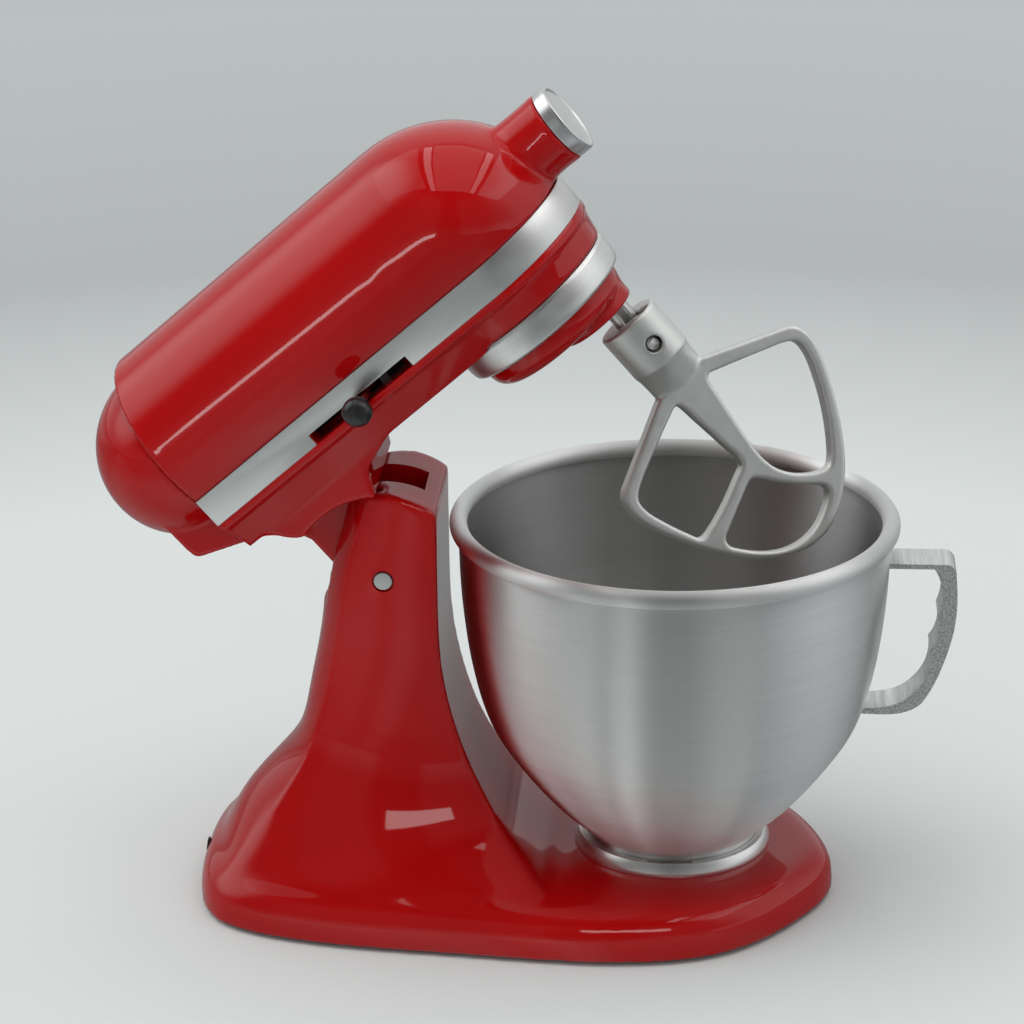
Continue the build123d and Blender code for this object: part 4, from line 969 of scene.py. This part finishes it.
class MIXER_OT_hub(bpy.types.Operator):
    """Makes the attachment hub's cap and its thumb screw"""
    bl_idname = "mixer.hub"
    bl_label = "Hub cap and thumb screw"

    def execute(self, context):
        sizes = settings()[1]
        along = HEAD @ Matrix.Translation((0, 0, HUB_RISE)) @ Matrix.Rotation(math.pi / 2, 4, "Y")
        cap = rounded([
            (0, 213.2, 0), (13.1, 213.2, 0), (13.1, 206, 0.3), (15.44, 206, 0.6), (15.44, 213.2, 0),
            (18.9, 213.2, 0.5), (18.9, 220.5, 1.5), (16.9, 220.5, 0.5), (16.2, 219.7, 0.4), (4.0, 219.7, 3.0),
            (0, 219.5, 0)])
        plug = turned("hub_plug", cap, along, "bright_metal", sizes.segments)
        dress(plug, "hub_cap", ["hub_cap"], "bright_metal")
        across = Matrix.Translation((THUMB_SCREW_REACH, 0, HUB_RISE)) @ Matrix.Rotation(-math.pi / 2, 4, "X")
        sideways = HEAD @ across
        screw = rounded([
            (0, 15.7, 0), (2.4, 15.7, 0.4), (3.0, 16.6, 0.3), (3.0, 20.4, 0), (8.7, 20.4, 0.6),
            (8.9, 22.4, 0.8), (8.5, 24.0, 0.6), (8.5, 31.0, 1.0), (7.2, 32.2, 1.0), (5.0, 32.2, 0.6),
            (4.4, 31.6, 0.6), (0, 31.6, 0)])
        core = turned("thumb_screw", screw, Matrix(), "black_plastic", 72)
        grip = 0.0079
        ridge = arc_block("ridge", grip, 0.0094, 0.0236, 0.0312, 0.085, 4)
        run_tree(core, "ring", piece=ridge, count=sizes.knurls, radius=grip, start=0.0,
                 finish=FINISHES["black_plastic"])
        discard(ridge)
        core.data.transform(sideways)
        bevelled(core, 0.0002, 40.0)
        dress(core, "hub_knob", ["hub_knob"], "black_plastic")
        return {"FINISHED"}


class MIXER_OT_levers(bpy.types.Operator):
    """Makes the head lock and the speed control, each a slide with a round knob"""
    bl_idname = "mixer.levers"
    bl_label = "Levers"

    def execute(self, context):
        curve = smooth_through(
            [(4.8, 8), (5.1, 11), (6.7, 13.6), (7.5, 17), (6.9, 20.2), (4.6, 22.8), (1.4, 23.8)], 6)
        profile = [(r / 1000, 0, z / 1000) for r, z in [(0, 8), *curve, (0, 23.9)]]
        for name, body, u, side in (("lock", "lock_lever", 0.061, -1), ("speed", "speed_lever", 0.035, 1)):
            outwards = Matrix.Rotation(-side * math.pi / 2, 4, "X")
            place = HEAD @ Matrix.Translation((u, side * LEVER_OUT, LEVER_RISE)) @ outwards
            ball = turned(name + "_ball", profile, place, "black_plastic", 64)
            dress(ball, body, [name + "_knob"], "black_plastic")
            slide = bevelled(merged_copy(name + "_lever", name + "_slide"), 0.0004)
            # The slide takes the dark red that is painted shade in its slot
            dress(slide, body, [name + "_lever"], "lever_shaded_red")
        return {"FINISHED"}


class MIXER_OT_bowl(bpy.types.Operator):
    """Turns the bowl with its rolled bead and foot, its inside darker as painted shade, and sets the lugs round
    the foot
    """
    bl_idname = "mixer.bowl"
    bl_label = "Bowl"

    def execute(self, context):
        wall = [
            (46.2, 37), (64.5, 54.5), (83.0, 78.0), (95.8, 100), (103.8, 130), (108.2, 165), (109.5, 198.4)]
        inner = [
            (108.1, 198.8), (106.8, 165), (102.4, 130.2), (94.2, 100.4), (81.6, 78.6), (62.6, 54.9),
            (47, 43.4), (30, 38.5)]
        turns = [math.radians(degrees) for degrees in range(-90, 256, 11)]
        bead = [(109.5 + 4.5 * math.cos(a), 203 + 4.5 * math.sin(a)) for a in turns]
        foot = rounded([
            (0, 37, 0), (42.2, 37, 0), (42.2, 27.2, 0.4), (44.2, 27.2, 0.5), (44.2, 35.4, 1.4),
            (46.2, 37, 0)])
        upper = [*smooth_through(wall, 10), *bead, *smooth_through(inner, 10), (0, 38.5)]
        profile = [*foot[:-1], *((r / 1000, 0, z / 1000) for r, z in upper)]
        piece = turned("steel_bowl", profile, Matrix(), "bowl_steel", settings()[1].segments, 50.0)
        lug_foot = 0.0435
        lug = arc_block("lug", lug_foot, 0.0466, 0.0272, 0.0302, math.radians(13))
        run_tree(piece, "ring", piece=lug, count=3, radius=lug_foot, start=0.0, finish=FINISHES["bowl_steel"])
        discard(lug)
        piece.data.transform(Matrix.Translation((BOWL_AXIS.x, 0, 0)))
        dress(piece, "bowl", ["bowl"], "bowl_steel")
        piece.data.materials.append(FINISHES["bowl_inside_shade"])
        # Faces of the inner wall and floor take the darker steel, which is painted shade in the bowl's hollow
        floor, bead_foot, floor_radius = 0.038, 0.1985, 0.06
        for face in piece.data.polygons:
            out = (face.center - BOWL_AXIS).xy
            on_wall = face.normal.xy.dot(out.normalized()) < -0.1
            on_floor = face.normal.z > 0.5 and out.length < floor_radius
            inside = (on_wall or on_floor) and floor < face.center.z < bead_foot
            face.material_index = 1 if inside else 0
        return {"FINISHED"}


class MIXER_OT_handle(bpy.types.Operator):
    """Makes the bowl's cast handle, rubbed bright along the grip and raw at its sides"""
    bl_idname = "mixer.handle"
    bl_label = "Bowl handle"

    def execute(self, context):
        piece = bevelled(merged_copy("bowl_handle", "grip"), 0.0007, 35.0, 3)
        dress(piece, "bowl", ["bowl_handle"], "handle_metal")
        piece.data.materials.append(FINISHES["handle_edge"])
        for face in piece.data.polygons:
            face.material_index = 1 if abs(face.normal.y) > 0.9 else 0
        return {"FINISHED"}


class MIXER_OT_beater(bpy.types.Operator):
    """Makes the cast beater with its bayonet, and the shaft and pin that carry it"""
    bl_idname = "mixer.beater"
    bl_label = "Beater and shaft"

    def execute(self, context):
        piece = soft_casting("flat_beater", "cast_beater", settings()[1].beater_voxel, 6, HEAD, 20)
        low, high = extent("shaft_pin", HEAD)
        axis = INTO_HEAD @ Vector(JOINTS["beater_spin"]["pos_m"])
        axis.z = (low.z + high.z) / 2
        spots = [INTO_HEAD @ vertex.co - axis for vertex in frame["nodes"]["shaft_pin"].data.vertices]
        reach = max(spot.xy.length for spot in spots)
        tip = sum((spot.xy for spot in spots if spot.xy.length > 0.8 * reach), Vector((0, 0)))
        turn = math.atan2(tip.y, tip.x)

        def spoke(angle, length):
            return HEAD @ (axis + length * Vector((math.cos(angle), math.sin(angle), 0)))

        cut_out(piece, rod_points(spoke(turn, 0.010), spoke(turn, COLLAR_OUT), PIN_HOLE_IN_COLLAR))
        for degrees in CHANNEL_STEPS:
            angle = turn + math.radians(degrees)
            cut_out(piece, rod_points(spoke(angle, 0.002), spoke(angle, CHANNEL_END), CHANNEL_HALF))
        smooth_by_angle(piece, 45)
        dress(piece, "beater", ["flat_beater"], "beater_metal")
        for node, finish in (("beater_shaft", "shaft_steel"), ("shaft_pin", "beater_metal")):
            copy = merged_copy(node, node + "_ground")
            smooth_by_angle(copy, 30)
            dress(copy, "shaft", [node], finish)
        return {"FINISHED"}


class MIXER_OT_seat(bpy.types.Operator):
    """Makes what holds the bowl and the head to the stand: clamp ring, screws, hinge pin"""
    bl_idname = "mixer.seat"
    bl_label = "Clamp ring and pin"

    def execute(self, context):
        ring = bevelled(merged_copy("clamp_ring", "bayonet_ring"), 0.0003)
        dress(ring, "stand", ["clamp_ring"], "clamp_steel")
        head = rounded([
            (0, 18, 0), (1.9, 18, 0.2), (1.9, 26.8, 0.4), (1.0, 26.8, 0.1), (0.9, 26.1, 0.1), (0, 26.1, 0)])
        screw = turned("screw", head, Matrix(), "shaft_steel", 32)
        circle = 0.0418
        spots = [(BOWL_AXIS.x + circle * math.cos(a), circle * math.sin(a), 0)
                 for a in (math.radians(60 + 120 * i) for i in range(3))]
        screws = points_object("ring_screws", spots)
        run_tree(screws, "spots", piece=screw, finish=FINISHES["shaft_steel"])
        discard(screw)
        smooth_by_angle(screws, 40)
        dress(screws, "stand", ["clamp_ring_screws"], "shaft_steel")
        low, high = extent("hinge_pin")
        radius, half = 500 * (high.x - low.x), 500 * (high.y - low.y)
        rod = rounded([
            (0, -half, 0), (radius - 0.4, -half, 0.4), (radius - 0.4, 2.6 - half, 0), (radius, 2.6 - half, 0),
            (radius, half - 2.6, 0), (radius - 0.4, half - 2.6, 0), (radius - 0.4, half, 0.4), (0, half, 0)])
        place = Matrix.Translation(HINGE) @ Matrix.Rotation(math.pi / 2, 4, "X")
        dress(turned("hinge_rod", rod, place, "pin_steel", 64), "stand", ["hinge_pin"], "pin_steel")
        return {"FINISHED"}


class MIXER_OT_underside(bpy.types.Operator):
    """Sets the rubber feet under the base, and makes the cord's gland"""
    bl_idname = "mixer.underside"
    bl_label = "Underside"

    def execute(self, context):
        profile = rounded([
            (0, 0, 0), (10.2, 0, 0), (11, 0.8, 0.4), (11, 2.0, 0.2), (4.0, 2.0, 0), (4.0, 5.0, 0.4),
            (0, 5.0, 0)])
        foot = turned("foot", profile, Matrix(), "rubber", 48)
        spots = [(BOWL_AXIS.x + x / 1000, y / 1000, 0)
                 for x, y in ((58, 0), (-20, 78), (-20, -78), (-205, 58), (-205, -58))]
        feet = run_tree(points_object("feet", spots), "spots", piece=foot, finish=FINISHES["rubber"])
        discard(foot)
        smooth_by_angle(feet, 40)
        dress(feet, "stand", ["rubber_feet"], "rubber")
        gland = merged_copy("cord_gland", "gland")
        wall = extent("cord_gland")[0].x + 0.0008
        for vertex in gland.data.vertices:
            vertex.co.x = max(vertex.co.x, wall)
        smooth_by_angle(gland, 35)
        dress(gland, "stand", ["cord_gland"], "rubber")
        return {"FINISHED"}


def softbox(name, size, power, spot, target):
    """Rectangular lamp at a spot, facing a target."""
    lamp = bpy.data.lights.new(name, "AREA")
    lamp.shape = "RECTANGLE"
    lamp.size, lamp.size_y = size
    lamp.energy = power
    made = bpy.data.objects.new(name, lamp)
    made.location = spot
    made.rotation_euler = (Vector(target) - Vector(spot)).to_track_quat("-Z", "Y").to_euler()
    bpy.context.scene.collection.objects.link(made)
    return made


def shine_on(lamp, name):
    """Leaves a lamp only as a highlight on one piece."""
    lamp.visible_diffuse = False
    only = bpy.data.collections.new(lamp.name + " only")
    only.objects.link(bpy.data.objects[name])
    lamp.light_linking.receiver_collection = only


def keep_off(lamp, name):
    """Keeps a lamp and its mirror image off one piece."""
    rest = bpy.data.collections.new(lamp.name + " not")
    rest.objects.link(bpy.data.objects[name])
    rest.collection_objects[0].light_linking.link_state = "EXCLUDE"
    lamp.light_linking.receiver_collection = rest


# Levels of grey by degrees round the room, with a share of blue where there is a third value
ROOM_BANDS = (
    (-180, 0.85), (-140, 0.70), (-100, 0.45), (-60, 0.40), (-46, 0.40), (-38, 0.62), (-16, 0.62), (-9, 0.24),
    (9, 0.22), (16, 0.56), (42, 0.60), (62, 1.10), (104, 1.10), (132, 0.70), (180, 0.85))
# Painted reflections: levels of the floor as metal mirrors it, light and dark bands round the bowl that stand in
# for the room's light and shade
PAINTED_FLOOR_BANDS = (
    (-180, 0.80), (-110, 0.56), (-74, 0.64), (-41, 1.23), (-33, 0.90), (-22, 1.37), (-9, 0.70), (14, 0.68),
    (23, 0.80), (38, 0.82), (43, 0.62), (50, 0.56, 0.05), (84, 0.50, 0.06), (104, 0.40, 0.05), (180, 0.75))
ROOM_LIGHT = (
    (-180, 0.62), (-120, 0.80), (-60, 1.15), (-10, 1.05), (50, 0.75), (100, 0.50), (140, 0.50), (180, 0.62))


def bands_ramp(tree, turn, bands, tint=1.0):
    """Levels of grey that follow a turn round the room, given in degrees."""
    ramp = tree.nodes.new("ShaderNodeValToRGB")
    ramp.color_ramp.interpolation = "EASE"
    steps = ramp.color_ramp.elements
    while len(steps) < len(bands):
        steps.new(0.5)
    for step, (angle, level, *cool) in zip(steps, bands):
        step.position = (angle + 180) / 360
        blue = sum(cool)
        step.color = (level * (0.97 - blue / 2) * tint, level * 0.99 * tint, level * (1 + blue) * tint, 1)
    tree.links.new(turn, ramp.inputs["Fac"])
    return ramp.outputs["Color"]


def studio_world(stage):
    """Even grey room that metal mirrors as upright bands, bright and dark by turns, under a dim ceiling."""
    world = bpy.data.worlds.new("Studio")
    world.use_nodes = True
    nodes = world.node_tree.nodes
    link = world.node_tree.links.new

    def tree_value(operation, first, second):
        return tree_math(world.node_tree, operation, first, second)

    towards = nodes.new("ShaderNodeTexCoord")
    part = nodes.new("ShaderNodeSeparateXYZ")
    link(towards.outputs["Generated"], part.inputs["Vector"])
    ahead = tree_value("MULTIPLY", part.outputs["Y"], -1.0)
    turn = tree_value("ARCTAN2", part.outputs["X"], ahead)
    turn = tree_value("ADD", tree_value("DIVIDE", turn, 2 * math.pi), 0.5)
    rise = nodes.new("ShaderNodeMapRange")
    rise.interpolation_type = "SMOOTHSTEP"
    rise.inputs["From Min"].default_value = 0.70
    rise.inputs["From Max"].default_value = 0.88
    rise.inputs["To Min"].default_value = 1.0
    rise.inputs["To Max"].default_value = stage.ceiling
    link(part.outputs["Z"], rise.inputs["Value"])
    low = nodes.new("ShaderNodeMapRange")
    low.interpolation_type = "SMOOTHSTEP"
    low.inputs["From Min"].default_value = 0.0
    low.inputs["From Max"].default_value = 0.22
    link(part.outputs["Z"], low.inputs["Value"])
    facing = nodes.new("ShaderNodeMapRange")
    facing.interpolation_type = "SMOOTHSTEP"
    facing.inputs["From Min"].default_value = 0.1
    facing.inputs["From Max"].default_value = 0.5
    link(ahead, facing.inputs["Value"])
    shade = tree_value("MULTIPLY", low.outputs["Result"], facing.outputs["Result"])
    shade = tree_value("SUBTRACT", 1.0, tree_value("MULTIPLY", shade, stage.front_shade))
    across = nodes.new("ShaderNodeVectorMath")
    across.operation = "DOT_PRODUCT"
    link(towards.outputs["Generated"], across.inputs[0])
    across.inputs[1].default_value = Vector((-0.82, 0.12, 0.55)).normalized()
    glow = nodes.new("ShaderNodeMapRange")
    glow.interpolation_type = "SMOOTHSTEP"
    glow.inputs["From Min"].default_value = 0.84
    glow.inputs["From Max"].default_value = 0.995
    glow.inputs["To Max"].default_value = stage.side_glow
    link(across.outputs["Value"], glow.inputs["Value"])
    seen = nodes.new("ShaderNodeMix")
    seen.data_type = "RGBA"
    tones = [socket for socket in seen.inputs if socket.type == "RGBA"]
    link(bands_ramp(world.node_tree, turn, ROOM_LIGHT, stage.ambient), tones[0])
    link(bands_ramp(world.node_tree, turn, ROOM_BANDS), tones[1])
    path = nodes.new("ShaderNodeLightPath")
    link(path.outputs["Is Glossy Ray"], seen.inputs["Factor"])
    dim = nodes.new("ShaderNodeMix")
    dim.data_type = "FLOAT"
    spots = [socket for socket in dim.inputs if socket.type == "VALUE"]
    link(path.outputs["Is Glossy Ray"], spots[0])
    spots[1].default_value = 1.0
    dimmed = tree_value("MULTIPLY", tree_value("MULTIPLY", rise.outputs["Result"], shade), stage.mirrored)
    link(tree_value("ADD", dimmed, glow.outputs["Result"]), spots[2])
    back = nodes["Background"]
    link([socket for socket in seen.outputs if socket.type == "RGBA"][0], back.inputs["Color"])
    link(dim.outputs[0], back.inputs["Strength"])
    return world


class MIXER_OT_stage(bpy.types.Operator):
    """Sets the floor, the lamps and the camera"""
    bl_idname = "mixer.stage"
    bl_label = "Stage"

    def execute(self, context):
        stage = settings()[2]
        mesh = bpy.data.meshes.new("floor")
        half = 14.0
        corners = [(-half, -half, 0), (half, -half, 0), (half, half, 0), (-half, half, 0)]
        mesh.from_pydata(corners, [], [(0, 1, 2, 3)])
        floor = linked("floor", mesh)
        near = Finish("Floor", tuple(stage.floor), roughness=0.9)
        near.set("Specular IOR Level", 0.1)
        part = near.node("ShaderNodeSeparateXYZ")
        near.join(near.place(), part, "Vector")
        radius = near.around()[1]
        # Painted light and shade: the floor's tone falls from near the mixer to far off and pales again at the
        # horizon, standing in for how the studio light falls
        tones = near.node("ShaderNodeValToRGB")
        stops = tones.color_ramp.elements
        stops.new(0.5)
        far = [channel * stage.horizon for channel in stage.surround]
        for stop, (reach, tone) in zip(stops, ((0.62, stage.floor), (1.15, stage.surround), (2.1, far))):
            stop.position = reach / 2.5
            stop.color = (*tone, 1)
        near.join(near.math("DIVIDE", radius, 2.5), tones, "Fac")
        # Painted shade in reflections: the mirrored floor is dimmed in front of the mixer and behind it, where its
        # shadow falls
        ahead = near.math("MULTIPLY", part.outputs["Y"], -1.0)
        level = near.between(ahead, 1.0, stage.far_floor, 0.24, 0.50)
        painted_shadow_behind = near.math("MULTIPLY", near.between(part.outputs["Y"], 0.0, 0.42, 0.06, 0.26),
                           near.between(part.outputs["Y"], 1.0, 0.0, 0.80, 1.05))
        level = near.math("MULTIPLY", level, near.math("SUBTRACT", 1.0, painted_shadow_behind))
        spot = near.node("ShaderNodeSeparateXYZ")
        near.join(near.place((BOWL_AXIS.x, 0, 0)), spot, "Vector")
        turn = near.math("ARCTAN2", spot.outputs["X"], near.math("MULTIPLY", spot.outputs["Y"], -1.0))
        turn = near.math("ADD", near.math("DIVIDE", turn, 2 * math.pi), 0.5)
        streaks = near.node("ShaderNodeVectorMath", operation="SCALE")
        near.join(bands_ramp(near.tree, turn, PAINTED_FLOOR_BANDS), streaks, 0)
        near.join(level, streaks, "Scale")
        # Only glossy rays see the painted bands and shade; the camera sees the plain tones
        path = near.node("ShaderNodeLightPath")
        dim = near.node("ShaderNodeMix", data_type="RGBA", blend_type="MULTIPLY")
        near.join(path.outputs["Is Glossy Ray"], dim, "Factor")
        pair = [socket for socket in dim.inputs if socket.type == "RGBA"]
        near.tree.links.new(tones.outputs["Color"], pair[0])
        near.tree.links.new(streaks.outputs["Vector"], pair[1])
        near.join([socket for socket in dim.outputs if socket.type == "RGBA"][0], near.shader, "Base Color")
        floor.data.materials.append(near.material)
        context.scene.world = studio_world(stage)
        key = softbox("key", (2.4, 2.4), stage.key_power, (-0.9, -0.3, 2.3), (0, 0, 0))
        key.visible_glossy = False
        for name, x in (("strip_left", -0.55), ("strip_right", 0.66)):
            softbox(name, (0.16, 2.0), stage.strip_power, (x, 0.15, 2.0), (x, 0.15, 0))
        panel = softbox("panel_middle", (0.98, 2.0), stage.panel_power, (0.055, 0.15, 2.02), (0.055, 0.15, 0))
        keep_off(panel, "stand_casting")
        softbox("panel_left", (1.3, 2.0), stage.panel_power * 0.8, (-1.42, 0.3, 2.02), (-1.42, 0.3, 0))
        softbox("panel_right", (1.1, 2.4), stage.panel_power * 1.8, (1.42, 0.3, 2.02), (1.42, 0.3, 0))
        window = softbox("window", (1.1, 0.40), stage.window_power, (0.32, -1.9, 1.3), (0, 0, 0.05))
        shine_on(window, "stand_casting")
        low_strip = softbox("low_strip", (0.9, 0.12), stage.strip_power, (-0.95, -2.2, 0.42), (0, 0, 0.3))
        shine_on(low_strip, "upper_casing")
        camera = bpy.data.cameras.new("Camera")
        camera.lens = stage.lens
        camera.sensor_width = 36.0
        camera.clip_end = 60.0
        eye = bpy.data.objects.new("Camera", camera)
        az, el, roll = stage.azimuth, stage.elevation, stage.roll
        back = Vector((math.sin(az) * math.cos(el), -math.cos(az) * math.cos(el), math.sin(el)))
        right = Vector((math.cos(az), math.sin(az), 0))
        up = back.cross(right)
        side = math.cos(roll) * right + math.sin(roll) * up
        top = math.cos(roll) * up - math.sin(roll) * right
        facing = Matrix((side, top, back)).transposed()
        eye.matrix_world = Matrix.Translation(CAMERA_TARGET + back * stage.distance) @ facing.to_4x4()
        context.scene.collection.objects.link(eye)
        context.scene.camera = eye
        context.scene.view_settings.view_transform = "Standard"
        return {"FINISHED"}


OPERATORS = (
    MIXER_OT_finishes, MIXER_OT_stand, MIXER_OT_head, MIXER_OT_trim, MIXER_OT_hub, MIXER_OT_levers,
    MIXER_OT_bowl, MIXER_OT_handle, MIXER_OT_beater, MIXER_OT_seat, MIXER_OT_underside, MIXER_OT_stage)


class MIXER_PT_panel(bpy.types.Panel):
    """Lists the steps and the values a user would change"""
    bl_idname = "MIXER_PT_panel"
    bl_label = "Stand mixer"
    bl_space_type = "VIEW_3D"
    bl_region_type = "UI"
    bl_category = "Mixer"

    def draw(self, context):
        scene = context.scene
        for group in (scene.mixer_colours, scene.mixer_sizes, scene.mixer_stage):
            box = self.layout.box()
            for name in group.__annotations__:
                box.prop(group, name)
        for operator in OPERATORS:
            self.layout.operator(operator.bl_idname)


GROUPS = {"mixer_colours": MixerColours, "mixer_sizes": MixerSizes, "mixer_stage": MixerStage}


def register():
    for group in GROUPS.values():
        bpy.utils.register_class(group)
    for operator in OPERATORS:
        bpy.utils.register_class(operator)
    bpy.utils.register_class(MIXER_PT_panel)
    for name, group in GROUPS.items():
        setattr(bpy.types.Scene, name, PointerProperty(type=group))


def unregister():
    for name in GROUPS:
        delattr(bpy.types.Scene, name)
    for made in (MIXER_PT_panel, *OPERATORS, *GROUPS.values()):
        bpy.utils.unregister_class(made)


def main():
    register()
    for operator in OPERATORS:
        group, name = operator.bl_idname.split(".")
        getattr(getattr(bpy.ops, group), name)()


if __name__ == "__main__":
    main()
